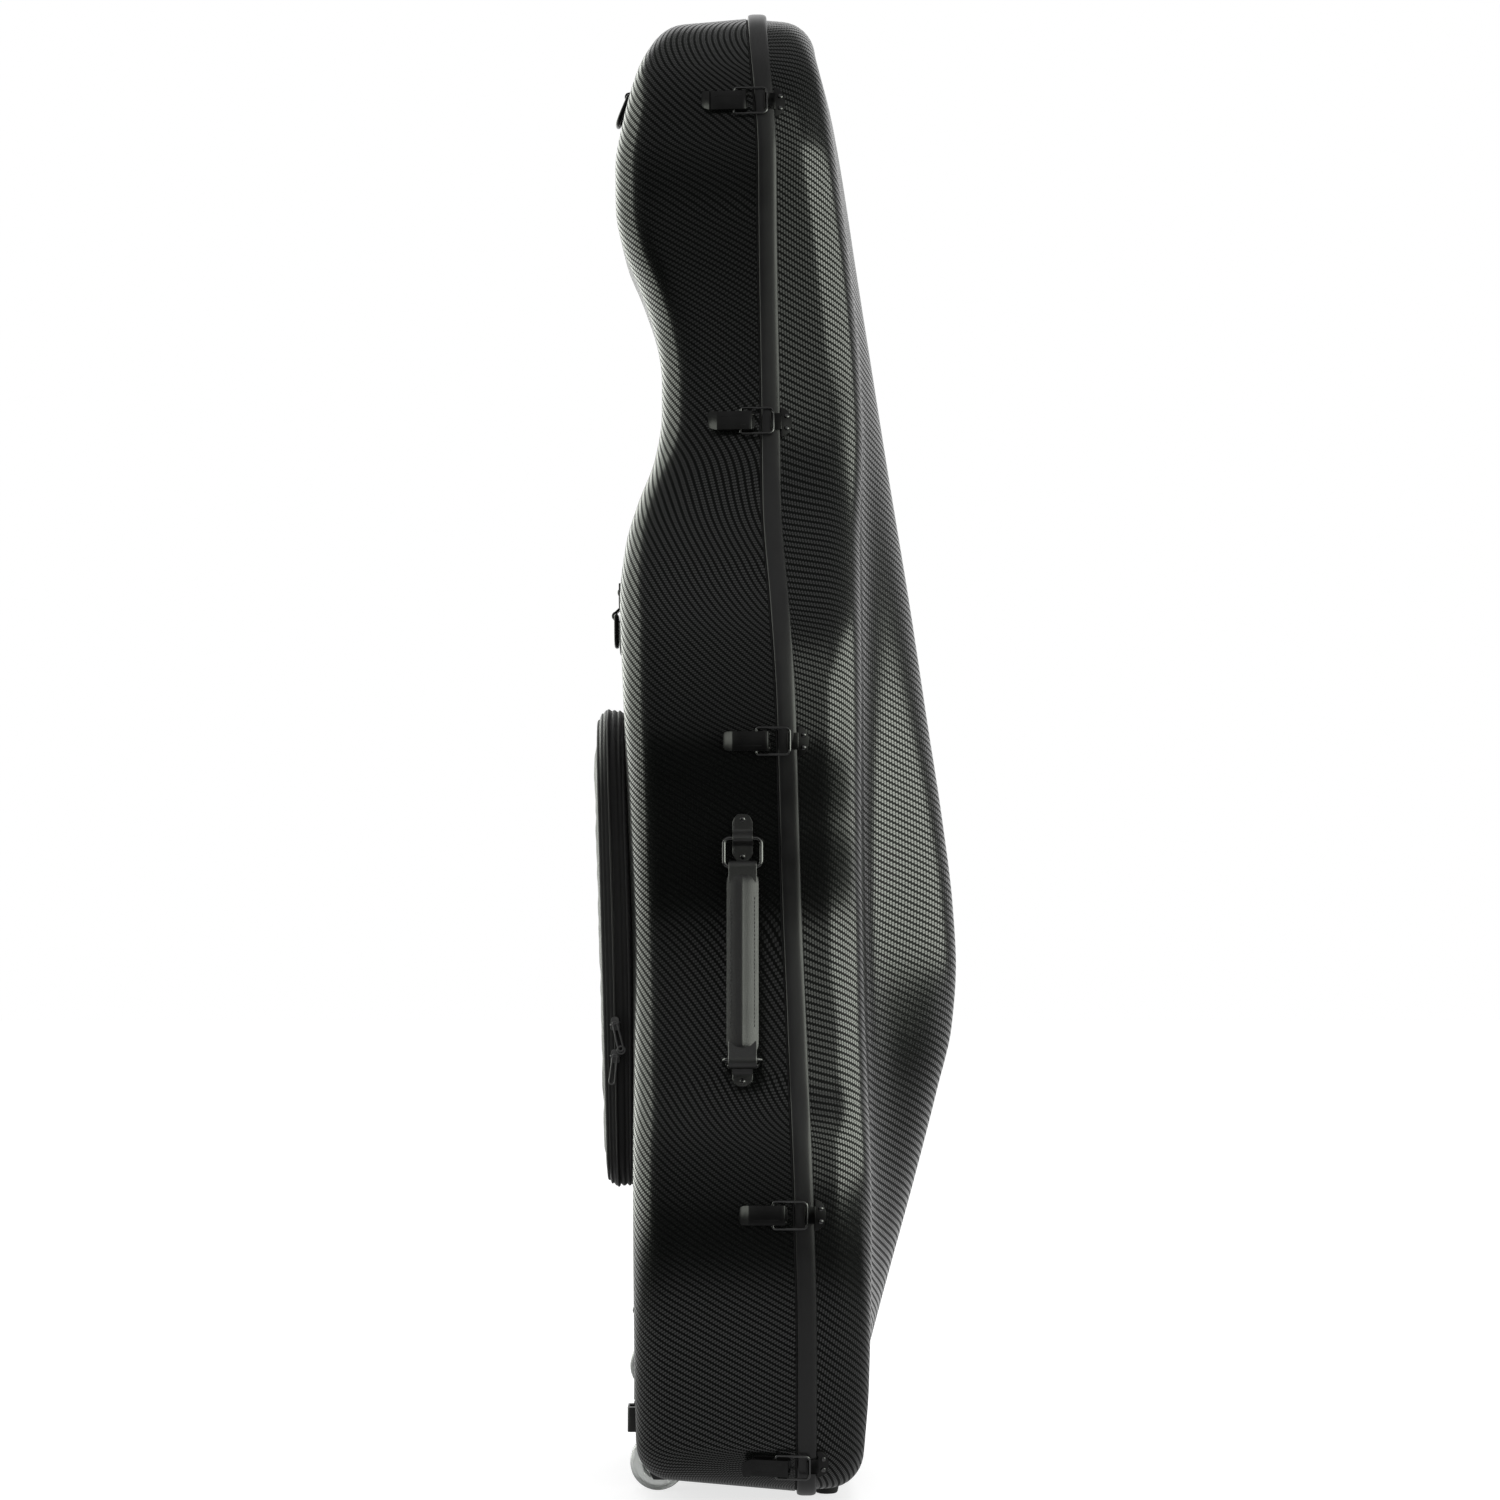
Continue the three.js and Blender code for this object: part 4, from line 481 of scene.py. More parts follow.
def twillFinish(name, slope):  # two over, two under; the lines of the twill fall along the slope
    f = Finish(name)
    uv = f.place("UV")
    u, v = f.axis(uv, "X"), f.axis(uv, "Y")
    a = math.atan(slope)
    tow = twill["tow"]
    p = (u * math.cos(a + math.pi / 4) + v * math.sin(a + math.pi / 4)) / tow
    q = (u * math.cos(a - math.pi / 4) + v * math.sin(a - math.pi / 4)) / tow
    waver = (f.noise(14, 2, vector=uv) - 0.5) * 0.5
    p, q = p + waver, q - waver
    i, j = p.math("FLOOR"), q.math("FLOOR")
    k = (i - j) % 4
    warpUp = k < 1.5
    across = p - i
    over = q - j
    top = k.math("FLOOR") % 2
    warpRun = (over + top) / 2
    weftRun = (across + (1 - top)) / 2
    warpRise = (1 - (across * 2 - 1) ** 2).math("MAXIMUM", 0).math("SQRT") * (warpRun * math.pi).math("SINE")
    weftRise = (1 - (over * 2 - 1) ** 2).math("MAXIMUM", 0).math("SQRT") * (weftRun * math.pi).math("SINE")
    height = warpUp * warpRise + (1 - warpUp) * weftRise
    shade = f.noise(5, 3) * 0.5 + 0.75
    # the weft tows get a lighter colour than the warp: a painted sheen, as both tows are the same carbon
    colour = f.mix(warpUp, twill["weft"], twill["warp"])
    # painted shade: where the tows dip into the gaps between them the colour goes nearly black; the noise
    # adds random tone
    groove = (height * 1.6).within(0.25, 1)
    level = (groove * shade).within(0, 1.5)
    colour = f.mix(level, (0.0012, 0.0014, 0.0012, 1), colour)
    roughness = warpUp * (twill["warpRoughness"] - twill["weftRoughness"]) + twill["weftRoughness"]
    roughness = roughness + (f.noise(30, 4) - 0.5) * 0.12
    sheen = ((1 - warpUp) * groove * twill["coat"] + warpUp * 0.04).within(0, 1)
    return f.close({
        "Base Color": colour, "Roughness": roughness, "Metallic": 0.0, "IOR": 1.5, "Specular IOR Level": 0.07,
        "Coat Weight": sheen, "Coat Roughness": twill["coatRoughness"], "Coat IOR": 1.9,
        "Normal": f.bump(height, twill["relief"], 1.0),
    })


def grainedFinish(name, colour, second, roughness, scale, relief, metallic=0.0, **more):
    f = Finish(name)
    fine = f.noise(scale, 4, 0.6)
    broad = f.noise(scale / 14, 2)
    tone = f.mix((broad * 1.4 - 0.2).within(0, 1), colour, second)
    inputs = {
        "Base Color": tone, "Roughness": roughness + (broad - 0.5) * 0.14, "Metallic": metallic,
        "Normal": f.bump(fine, relief, 0.7),
    }
    inputs.update(more)
    return f.close(inputs)


def wovenFinish(name, warp, weft, pitch, relief, roughness, slant=0.0):
    f = Finish(name)
    place = f.place()
    x, y, z = (f.axis(place, a) for a in "XYZ")
    u = x + y * 0.93 + slant * z
    i, j = (u / pitch).math("FLOOR"), (z / pitch).math("FLOOR")
    a, b = u / pitch - i, z / pitch - j
    over = (i + j) % 2
    ra = 1 - abs(a * 2 - 1) ** 2
    rb = 1 - abs(b * 2 - 1) ** 2
    height = over * ra + (1 - over) * rb
    dust = f.noise(22, 4)
    colour = f.mix(over, warp, weft)
    # painted shade: where the threads dip, between them, the colour goes nearly black; the dust noise adds
    # random tone
    colour = f.mix((height * 0.7 + dust * 0.6).within(0, 1), grey(0.002), colour)
    return f.close({"Base Color": colour, "Roughness": roughness, "Specular IOR Level": 0.3,
                    "Sheen Weight": 0.12, "Sheen Roughness": 0.5, "Normal": f.bump(height, relief, 0.8)})


def leatherFinish(name, colour, worn, roughness):
    f = Finish(name)
    place = f.place()
    cells = f.node("TexVoronoi", {"feature": "DISTANCE_TO_EDGE"}, {"Vector": place, "Scale": 520.0},
                   "Distance")
    pores = (cells * 4).within(0, 1)
    folds = f.noise(60, 5, 0.62)
    wear = ((f.noise(38, 3) - 0.45) * 3).within(0, 1)
    tone = f.mix(wear, colour, worn)
    # painted shade: the crevices between the grain's cells, which the bump sinks, are darkened
    tone = f.mix(pores, grey(0.003), tone)
    height = pores * 0.6 + folds * 0.7
    return f.close({"Base Color": tone, "Roughness": roughness - pores * 0.06 + (folds - 0.5) * 0.2,
                    "Coat Weight": 0.7, "Coat Roughness": 0.34, "Normal": f.bump(height, 0.0002, 0.7)})


def plushFinish(name, colour, tip):
    f = Finish(name)
    nap = f.noise(900, 3, 0.7)
    patch = f.noise(9, 3)
    tone = f.mix((nap * 0.8 + patch * 0.6 - 0.3).within(0, 1), colour, tip)
    return f.close({"Base Color": tone, "Roughness": 0.95, "Sheen Weight": 0.5, "Sheen Roughness": 0.4,
                    "Normal": f.bump(nap, 0.0009, 0.7)})


def clearFinish(name):
    f = Finish(name)
    cloud = f.noise(40, 3)
    tone = f.mix(cloud, (0.68, 0.7, 0.68, 1), (0.84, 0.86, 0.84, 1))
    return f.close({"Base Color": tone, "Roughness": 0.24 + (cloud - 0.5) * 0.1,
                    "Transmission Weight": 0.55, "IOR": 1.45, "Normal": f.bump(f.noise(300, 2), 0.0001, 0.4)})


finishes = {
    "lidTwill": twillFinish("lidTwill", twill["lidSlope"]),
    "backTwill": twillFinish("backTwill", twill["backSlope"]),
    "bead": grainedFinish("beadSatin", grey(0.009), grey(0.013), 0.33, 700, 0.00004),
    "rubber": grainedFinish("footRubber", grey(0.008), grey(0.014), 0.72, 500, 0.0001),
    "plush": plushFinish("liningPlush", (0.02, 0.022, 0.027, 1), (0.05, 0.053, 0.062, 1)),
    "blackSteel": grainedFinish("blackSteel", grey(0.022), grey(0.035), 0.3, 900, 0.00003, 0.85),
    "ringSteel": grainedFinish("ringSteel", grey(0.1), grey(0.14), 0.22, 900, 0.00002, 1.0),
    # bright steel for pins, axles and the catch's hook; on the latch levers' lip and tip it is a painted
    # glint on black metal
    "brightSteelAndPaintedGlint": grainedFinish("brightSteelAndPaintedGlint", grey(0.86), grey(0.94), 0.42, 900, 0.00003, 1.0),
    "leather": leatherFinish("handleLeather", grey(0.007), grey(0.013), 0.5),
    "greyWire": grainedFinish("greyWire", grey(0.08), grey(0.12), 0.4, 900, 0.00003, 0.4),
    "thread": grainedFinish("waxedThread", grey(0.03), grey(0.05), 0.6, 1500, 0.0001),
    "wheel": clearFinish("wheelClear"),
    "plastic": grainedFinish("cornerPlastic", grey(0.012), grey(0.018), 0.46, 420, 0.00012),
    "pocket": wovenFinish("pocketFabric", grey(0.010), grey(0.017), 0.0011, 0.00012, 0.42),
    "webbing": wovenFinish("neckWebbing", grey(0.016), grey(0.028), 0.0016, 0.0003, 0.8),
    "piping": wovenFinish("pocketPiping", grey(0.02), grey(0.03), 0.0009, 0.0002, 0.6, 0.7),
}
print("finishes made:", len(finishes))


# shells, liners and rim
def skinRows(side, inset, lift, counts, line, wallStart=0.0):
    points, normals = line
    sign, surface = (1, lidSurface) if side == "lid" else (-1, backSurface)
    edge = points - normals * inset
    endness = normals[:, 1] ** 2
    radius = lerp(case["sideRadius"], case["endRadius"], endness) - inset
    rim = partingDepth(edge[:, 1]) + sign * lift
    sine, cosine, slope = math.sin(case["draft"]), math.cos(case["draft"]), math.tan(case["draft"])
    reach = radius.copy()
    for _ in range(4):
        inner = edge - normals * reach[:, None]
        height = sign * (surface(inner[:, 0], inner[:, 1]) - sign * inset - rim)
        reach = radius * cosine + slope * (height - radius + radius * sine)

    def at(inward, up):
        place = edge - normals * np.asarray(inward)[:, None]
        return np.stack([place[:, 0], -(rim + sign * up), place[:, 1]], 1)

    wallCount, shoulderCount, plateauCount = counts
    foot, knee = at(reach * 0, height * 0), at(reach - radius * cosine, height - radius + radius * sine)
    rows = [lerp(foot, knee, i / wallCount) for i in range(wallCount)]
    for i in range(shoulderCount + 1):
        a = lerp(case["draft"], math.pi / 2, i / shoulderCount)
        rows.append(at(reach - radius * math.cos(a), height - radius + radius * math.sin(a)))
    shoulderRow = len(rows) - 1
    crown = edge - normals * reach[:, None]
    spine = np.stack([crown[:, 0] * 0, np.clip(crown[:, 1], case["clearance"] + case["spineLow"],
                                               case["height"] - case["spineHigh"])], 1)
    for i in range(1, plateauCount + 1):
        place = lerp(crown, spine, (i / plateauCount) ** 0.8)
        depth = surface(place[:, 0], place[:, 1]) - sign * inset
        rows.append(np.stack([place[:, 0], -depth, place[:, 1]], 1))
    return np.array(rows), shoulderRow


def clothPlaces(side, rows, shoulderRow, normals):  # where the cloth's own thread lines lie, in metres
    def spread(x, z):
        if side == "back":
            return x
        t = np.linspace(0, 1, 33)[:, None, None]
        share = z / case["height"]
        rise = case["lidDepth"] * (crownCurve(share) - plateauCurve(share))
        reach = ridgeReach(share)
        across = np.abs(x)[None] * t
        slope = np.where(across < reach, rise * 0.5 * math.pi / reach * np.sin(math.pi * across / reach), 0)
        length = np.sqrt(1 + slope ** 2)
        return x * (length[1:] + length[:-1]).sum(0) / 64 * twill["ridgeDraw"]

    placed = np.zeros(rows.shape[:2] + (2,))
    placed[shoulderRow:, :, 0] = spread(rows[shoulderRow:, :, 0], rows[shoulderRow:, :, 2])
    placed[shoulderRow:, :, 1] = rows[shoulderRow:, :, 2]
    gone = np.zeros(rows.shape[1])
    for r in range(shoulderRow - 1, -1, -1):
        gone += np.linalg.norm(rows[r] - rows[r + 1], axis=1)
        placed[r] = placed[shoulderRow] + normals * gone[:, None]
    return placed.reshape(-1, 2) * millimetre


def shellMesh(name, side, outer, inner, counts, line):
    sheets = [skinRows(side, *layer, counts, line) for layer in (outer, inner)]
    uv = np.vstack([clothPlaces(side, rows, at, line[1]) for rows, at in sheets])
    count = len(line[0])
    size = sheets[0][0].shape[0] * count
    faces = gridPart(sheets[0][0], caps=False)[1]
    faces += [[size + i for i in face][::-1] for face in gridPart(sheets[1][0], caps=False)[1]]
    faces += [[j, i, size + i, size + j] for i in range(count) for j in [(i + 1) % count]]
    points = np.vstack([rows.reshape(-1, 3) for rows, _ in sheets])
    return makeMesh(name, [(points, faces)], uv=uv, recalc=False)


wheels = {
    "radius": 25, "width": 24, "behind": 106, "spread": 108, "rise": 87, "running": 2.6, "well": 2,
    "plate": 1.5, "margin": 8, "top": 60, "barShare": 0.45, "barHeight": 22, "barProud": 7.5, "axle": 3,
}
wellHalf = wheels["width"] / 2 + wheels["running"] / 2 + wheels["well"]
wellRadius = wheels["radius"] + wheels["running"] + wheels["well"]


def wellMesh(side, level, room, far=190.0):  # the room of one wheel's well, open backwards
    x, y, z = side * wheels["spread"], wheels["behind"], wheels["radius"] + level * wheels["rise"]
    half, r = wellHalf + room, wellRadius + room
    arc = [(y + r * math.cos(a), z + r * math.sin(a)) for a in np.linspace(math.pi / 2, math.pi * 1.5, 33)]
    if level == 0:
        arc = arc[:17] + [(y - r, -20)] + [(far, -20)]
    else:
        arc += [(far, z - r)]
    return prismPart(arc + [(far, z + r)], x - half, x + half, "yzx")


shellCounts = (8, 9, 30)
linerNear = case["wall"] + case["linerGap"]
linerDeep = linerNear + case["liner"]
lidShell = makePiece(
    "lidShell", shellMesh("lidShell", "lid", (0, case["partingGap"]), (case["wall"], case["partingGap"]),
                          shellCounts, fineLine), [finishes["lidTwill"]], "lid", ["lid_shell"])
backMesh = shellMesh("backShell", "back", (0, 0), (case["wall"], 0), shellCounts, fineLine)
wells = [(side, level) for side in (-1, 1) for level in (0, 1)]
backMesh = cutMesh(backMesh, [makeMesh("well", [wellMesh(s, level, case["seat"])]) for s, level in wells])
backShell = makePiece("backShell", backMesh, [finishes["backTwill"]], "back", ["back_shell"])
print("shells:", len(lidShell.data.polygons), len(backMesh.polygons))

linerCounts = (4, 5, 12)
for side, body, node, lift in (("back", "back", "back_liner", -case["linerGap"]),
                               ("lid", "lid", "lid_liner", case["partingGap"] + case["linerGap"])):
    mesh = shellMesh(side + "Lining", side, (linerNear, lift), (linerDeep, lift), linerCounts, linerLine)
    if side == "back":
        mesh = cutMesh(mesh, [makeMesh("well", [wellMesh(s, level, case["linerGap"])]) for s, level in wells])
    lining = makePiece(side + "Lining", mesh, [finishes["plush"]], body, [node])
print("linings made")


def rimBand(section, line):  # a band on the rim: a closed section of outwards and towards the lid
    points, normals = line
    rows = []
    for point, normal, depth in zip(points, normals, partingDepth(points[:, 1])):
        rows.append([(point[0] + normal[0] * out, -(depth + s), point[1] + normal[1] * out)
                     for out, s in section])
    return gridPart(rows, looped=True)


def beadSection():
    gap, width, height = case["partingGap"], case["beadWidth"], case["beadHeight"]
    lean = math.tan(case["draft"]) * width
    top = []
    for t in np.linspace(0, math.pi, 21):
        c, s = math.cos(t), math.sin(t)
        along = 0.5 - 0.5 * math.copysign(abs(c) ** 0.62, c)
        floor = lerp(0.3, 0.3 - lean, along)
        top.append((lerp(floor, height, s ** 0.5), gap + width * along))
    return top


makePiece("rimBead", makeMesh("rimBead", [rimBand(beadSection(), fineLine)]), [finishes["bead"]],
          "lid", ["lid_trim"])
sealSection = [(-0.6, 0.3), (-0.6, 1.5), (-1.2, 1.7), (-2.4, 1.5), (-2.4, 0.3), (-1.2, 0.1)]
makePiece("rimSeal", makeMesh("rimSeal", [rimBand(sealSection, linerLine)]), [finishes["rubber"]],
          "back", ["rim_seal"])


# where fittings stand on the wall
def wallAt(height, side):
    points, normals = coarseLine
    half = len(points) // 2
    i = 1
    while i < half - 1 and points[i + 1][1] < height:
        i += 1
    t = (height - points[i][1]) / (points[i + 1][1] - points[i][1])
    point, normal = lerp(points[i], points[i + 1], t), lerp(normals[i], normals[i + 1], t)
    normal = normal / np.linalg.norm(normal)
    return point * (side, 1), normal * (side, 1)


def wallBulge(height, side, reach):
    point, normal = wallAt(height, side)
    apart = coarseLine[0] - point
    near = (coarseLine[0][:, 0] * side > 0) & (np.linalg.norm(apart, axis=1) < reach)
    return max(0, float((apart[near] @ normal).max(initial=0)))


def wallMatrix(height, side, depth):
    point, normal = wallAt(height, side)
    out, front = Vector((normal[0], 0, normal[1])), Vector((0, -1, 0))
    up = out.cross(front)
    turn = Matrix((out, front, up)).transposed().to_4x4()
    return Matrix.Translation((point[0], -depth, point[1])) @ turn


def turnAbout(angle, axis):
    return Matrix.Rotation(angle, 4, axis)


def shiftBy(x, y, z):
    return Matrix.Translation((x, y, z))


# rivets, screws and stitches through geometry nodes
def nodeTree(name, sizes):
    tree = bpy.data.node_groups.new(name, "GeometryNodeTree")
    tree.interface.new_socket("Geometry", in_out="INPUT", socket_type="NodeSocketGeometry")
    tree.interface.new_socket("Geometry", in_out="OUTPUT", socket_type="NodeSocketGeometry")
    named = {}
    for label, (kind, value) in sizes.items():
        socket = tree.interface.new_socket(label, in_out="INPUT", socket_type="NodeSocket" + kind)
        if value is not None:
            socket.default_value = value
        named[label] = socket.identifier
    return tree, named


def addNode(tree, kind, links=None, values=None, **settings):
    made = tree.nodes.new(kind)
    for key, value in settings.items():
        setattr(made, key, value)
    for key, value in (values or {}).items():
        made.inputs[key].default_value = value
    for key, source in (links or {}).items():
        tree.links.new(source, made.inputs[key])
    return made


def closeTree(tree, made, finish):
    real = addNode(tree, "GeometryNodeRealizeInstances", {"Geometry": made.outputs[0]})
    coated = addNode(tree, "GeometryNodeSetMaterial", {"Geometry": real.outputs[0], "Material": finish})
    smooth = addNode(tree, "GeometryNodeSetShadeSmooth", {0: coated.outputs[0]})
    end = addNode(tree, "NodeGroupOutput")
    tree.links.new(smooth.outputs[0], end.inputs[0])


def headsTree():  # a domed head on every point, standing along its aim
    tree, named = nodeTree("headsOnPoints", {
        "Head Radius": ("Float", 0.0026), "Head Rise": ("Float", 0.0013), "Head Finish": ("Material", None)})
    start = addNode(tree, "NodeGroupInput")
    dome = addNode(tree, "GeometryNodeMeshUVSphere", values={"Segments": 20, "Rings": 10, "Radius": 1.0})
    size = addNode(tree, "ShaderNodeCombineXYZ", {"X": start.outputs["Head Radius"],
                                                  "Y": start.outputs["Head Radius"],
                                                  "Z": start.outputs["Head Rise"]})
    sized = addNode(tree, "GeometryNodeTransform",
                    {"Geometry": dome.outputs["Mesh"], "Scale": size.outputs[0]})
    aim = addNode(tree, "GeometryNodeInputNamedAttribute", values={"Name": "aim"}, data_type="FLOAT_VECTOR")
    turn = addNode(tree, "FunctionNodeAlignRotationToVector", {"Vector": aim.outputs[0]}, axis="Z")
    heads = addNode(tree, "GeometryNodeInstanceOnPoints", {
        "Points": start.outputs["Geometry"], "Instance": sized.outputs[0], "Rotation": turn.outputs[0]})
    closeTree(tree, heads, start.outputs["Head Finish"])
    return tree, named


def cordTree():  # a round cord along every edge path
    tree, named = nodeTree("cordOnPath", {
        "Cord Radius": ("Float", 0.0012), "Cord Sides": ("Int", 10), "Cord Finish": ("Material", None)})
    start = addNode(tree, "NodeGroupInput")
    line = addNode(tree, "GeometryNodeMeshToCurve", {"Mesh": start.outputs["Geometry"]})
    round_ = addNode(tree, "GeometryNodeCurvePrimitiveCircle", {"Resolution": start.outputs["Cord Sides"],
                                                                "Radius": start.outputs["Cord Radius"]})
    body = addNode(tree, "GeometryNodeCurveToMesh", {"Curve": line.outputs[0],
                                                     "Profile Curve": round_.outputs[0]},
                   {"Fill Caps": True})
    closeTree(tree, body, start.outputs["Cord Finish"])
    return tree, named


def stitchTree():  # short threads in a row along every edge path
    tree, named = nodeTree("stitchesOnPath", {
        "Stitch Pitch": ("Float", 0.004), "Stitch Length": ("Float", 0.0028),
        "Thread Radius": ("Float", 0.0004), "Thread Finish": ("Material", None)})
    start = addNode(tree, "NodeGroupInput")
    line = addNode(tree, "GeometryNodeMeshToCurve", {"Mesh": start.outputs["Geometry"]})
    even = addNode(tree, "GeometryNodeCurveToPoints",
                   {"Curve": line.outputs[0], "Length": start.outputs["Stitch Pitch"]}, mode="LENGTH")
    bead = addNode(tree, "GeometryNodeMeshUVSphere", values={"Segments": 6, "Rings": 5, "Radius": 1.0})
    half = addNode(tree, "ShaderNodeMath", {0: start.outputs["Stitch Length"]}, {1: 0.5},
                   operation="MULTIPLY")
    size = addNode(tree, "ShaderNodeCombineXYZ", {"X": start.outputs["Thread Radius"],
                                                  "Y": start.outputs["Thread Radius"], "Z": half.outputs[0]})
    sized = addNode(tree, "GeometryNodeTransform",
                    {"Geometry": bead.outputs["Mesh"], "Scale": size.outputs[0]})
    turn = addNode(tree, "FunctionNodeAlignRotationToVector", {"Vector": even.outputs["Tangent"]}, axis="Z")
    threads = addNode(tree, "GeometryNodeInstanceOnPoints", {
        "Points": even.outputs["Points"], "Instance": sized.outputs[0], "Rotation": turn.outputs[0]})
    closeTree(tree, threads, start.outputs["Thread Finish"])
    return tree, named


trees = {"heads": headsTree(), "cord": cordTree(), "stitches": stitchTree()}


def grown(name, source, treeName, sizes):  # the plain mesh of a tree run on a source mesh
    tree, named = trees[treeName]
    holder = holderFor(source)
    modifier = holder.modifiers.new(treeName, "NODES")
    modifier.node_group = tree
    for label, value in sizes.items():
        modifier[named[label]] = value
    return evaluatedMesh(holder, name)


def pointSource(places, aims):
    mesh = bpy.data.meshes.new("points")
    mesh.from_pydata(toFrame(places).tolist(), [], [])
    aim = mesh.attributes.new("aim", "FLOAT_VECTOR", "POINT")
    aim.data.foreach_set("vector", np.asarray(aims, np.float32).ravel())
    return mesh


def pathSource(paths):  # each path is points in millimetres and whether it closes
    points, edges, start = [], [], 0
    for path, closed in paths:
        n = len(path)
        points.append(np.asarray(path, float))
        edges += [(start + i, start + i + 1) for i in range(n - 1)] + (
            [(start + n - 1, start)] if closed else [])
        start += n
    mesh = bpy.data.meshes.new("paths")
    mesh.from_pydata(toFrame(np.vstack(points)).tolist(), edges, [])
    return mesh


heads = {}  # rivets and screws, gathered for each body and finish


def addHeads(body, finish, radius, rise, matrix, places, aim=(1, 0, 0)):
    key = body, finish, radius, rise
    kept = heads.setdefault(key, ([], []))
    turned = (matrix.to_3x3() @ Vector(aim)).normalized()
    for place in places:
        kept[0].append(tuple(matrix @ Vector(place)))
        kept[1].append(tuple(turned))


# draw latches
latch = {
    "shares": (0.9285, 0.714, 0.4996, 0.1929, 0.03), "width": 17,
    "pinBehind": 6.5, "bailBehind": 10, "pinHeight": 4, "pin": 1.2, "wire": 1.1, "bailWidth": 23.6,
    "bailReach": 29.5, "bailCorner": 4, "bailHeight": 6.7, "plate": 1.4, "plateReach": 38,
    "catchRadius": 13.5, "catchThickness": 1.3, "catchReach": 10, "hookRise": 8.8, "hook": 1.1,
    "plateTrim": 1.6, "earAt": 6.2, "earHalf": 0.7, "lugAt": 7.9, "lugHalf": 0.6, "strap": 1.2,
    "ridgeAt": 4.2, "ridge": 0.35, "rivetAt": 5.5, "rivet": 2.4, "rivetRise": 1.3,
}


def latchPieces(number, height):
    depth = float(partingDepth(height))
    lift = wallBulge(height, -1, latch["catchRadius"])
    rim = wallMatrix(height, -1, depth) @ shiftBy(lift, 0, 0)
    base = rim @ turnAbout(-case["draft"], "Z")
    lever = base @ shiftBy(latch["pinHeight"], -latch["pinBehind"], 0)
    tailBack = latch["pinBehind"] + latch["bailBehind"]
    tail = turnAbout(-case["draft"], "Z") @ Vector((latch["bailHeight"], -tailBack, 0))
    drop = latch["bailHeight"] - tail.x
    level = latch["bailHeight"] - latch["pinHeight"]
    bail = lever @ shiftBy(level, -latch["bailBehind"], 0) @ turnAbout(
        case["draft"] - math.asin(drop / latch["bailReach"]), "Z")
    half, pin = latch["width"] / 2, latch["pin"]
    steel = [finishes["blackSteel"], finishes["brightSteelAndPaintedGlint"]]
    plateHalf = half - latch["plateTrim"]
    # base plate with its ears and pin
    outlinePoints = roundedPath([(-latch["plateReach"], -plateHalf, 0), (-4.1, -plateHalf, 0),
                                 (-4.1, plateHalf, 0), (-latch["plateReach"], plateHalf, 0)],
                                3, 4, True)[:, :2]
    ears = []
    for s in (-1, 1):
        ear = roundedPath([(0, -8.9, 0), (6.4, -8.9, 0), (6.4, -4.1, 0), (0, -4.1, 0)], (0.1, 2, 2, 0.1), 5,
                          True)
        ears.append(prismPart(ear[:, :2], s * latch["earAt"] - latch["earHalf"],
                              s * latch["earAt"] + latch["earHalf"]))
    parts = [prismPart(outlinePoints, -1.6, latch["plate"], "yzx"), *ears,
             tubePart([(4, -6.5, -half), (4, -6.5, half)], pin, 16, mark=1)]
    makePiece(f"latchBase{number}", makeMesh("latchBase", parts, base, 0.25), steel, "back",
              [f"latch_base_{number}"])
    # lever: a strap with a bent tip and a rolled edge over the pin
    low = level + latch["wire"] + case["seat"]
    top = low + latch["strap"]
    stations = [(0.9, -1.6, half * 0.94), (0.8, -0.9, half), (0.5, -0.35, half), (-0.2, -0.04, half),
                (-2.6, 0, half), (-8, 0.05, half), (-24, 0.05, half), (-30.5, 0, half), (-31.5, 0.15, half),
                (-32.2, 0.6, half), (-35.6, 2.7, half * 0.97), (-37.5, 3.9, half * 0.86),
                (-38.3, 4.3, half * 0.7), (-38.6, 4.4, half * 0.45)]
    rows = []
    for y, rise, wide in stations:
        rows.append([(low + rise, y, -wide), (low + rise, y, wide), (top + rise, y, wide),
                     (top + rise, y, -wide)])
    # the lip and the tip are marked for the bright finish: a painted glint on the lever's black metal
    lip, strap, tip = gridPart(rows[:5], mark=1), gridPart(rows[4:9]), gridPart(rows[8:], mark=1)
    lugs = []
    for s in (-1, 1):
        lug = roundedPath([(1.2, 2.2, 0), (low + 0.6, 0.4, 0), (low + 0.6, -12.9, 0), (0.3, -12.9, 0),
                           (-2.2, -1, 0), (-2.2, 1, 0)], (1, 0.4, 0.8, 2.2, 1, 1), 4, True)
        lugs.append(prismPart(lug[:, :2], s * latch["lugAt"] - latch["lugHalf"],
                              s * latch["lugAt"] + latch["lugHalf"]))
    ridge = [tubePart([(top - 0.1, -5, z), (top - 0.1, -27, z)], latch["ridge"], 8)
             for z in (-latch["ridgeAt"], latch["ridgeAt"])]
    makePiece(f"latchLever{number}", makeMesh("latchLever", [lip, strap, tip, *lugs, *ridge], lever, 0.22),
              steel, f"latch_lever_{number}", [f"latch_lever_{number}"])
    # bail: one wire from eye to eye
    arm, far = latch["bailWidth"] / 2, latch["bailReach"]
    path = roundedPath([(0, 0, 7.3), (0, 0, arm), (0, far, arm), (0, far, -arm), (0, 0, -arm), (0, 0, -7.3)],
                       latch["bailCorner"], 6)
    makePiece(f"latchBail{number}", makeMesh("latchBail", [tubePart(path, latch["wire"], 12, axis=(1, 0, 0))],
                                             bail, 0.2), [finishes["ringSteel"]],
              f"latch_bail_{number}", [f"latch_bail_{number}"])
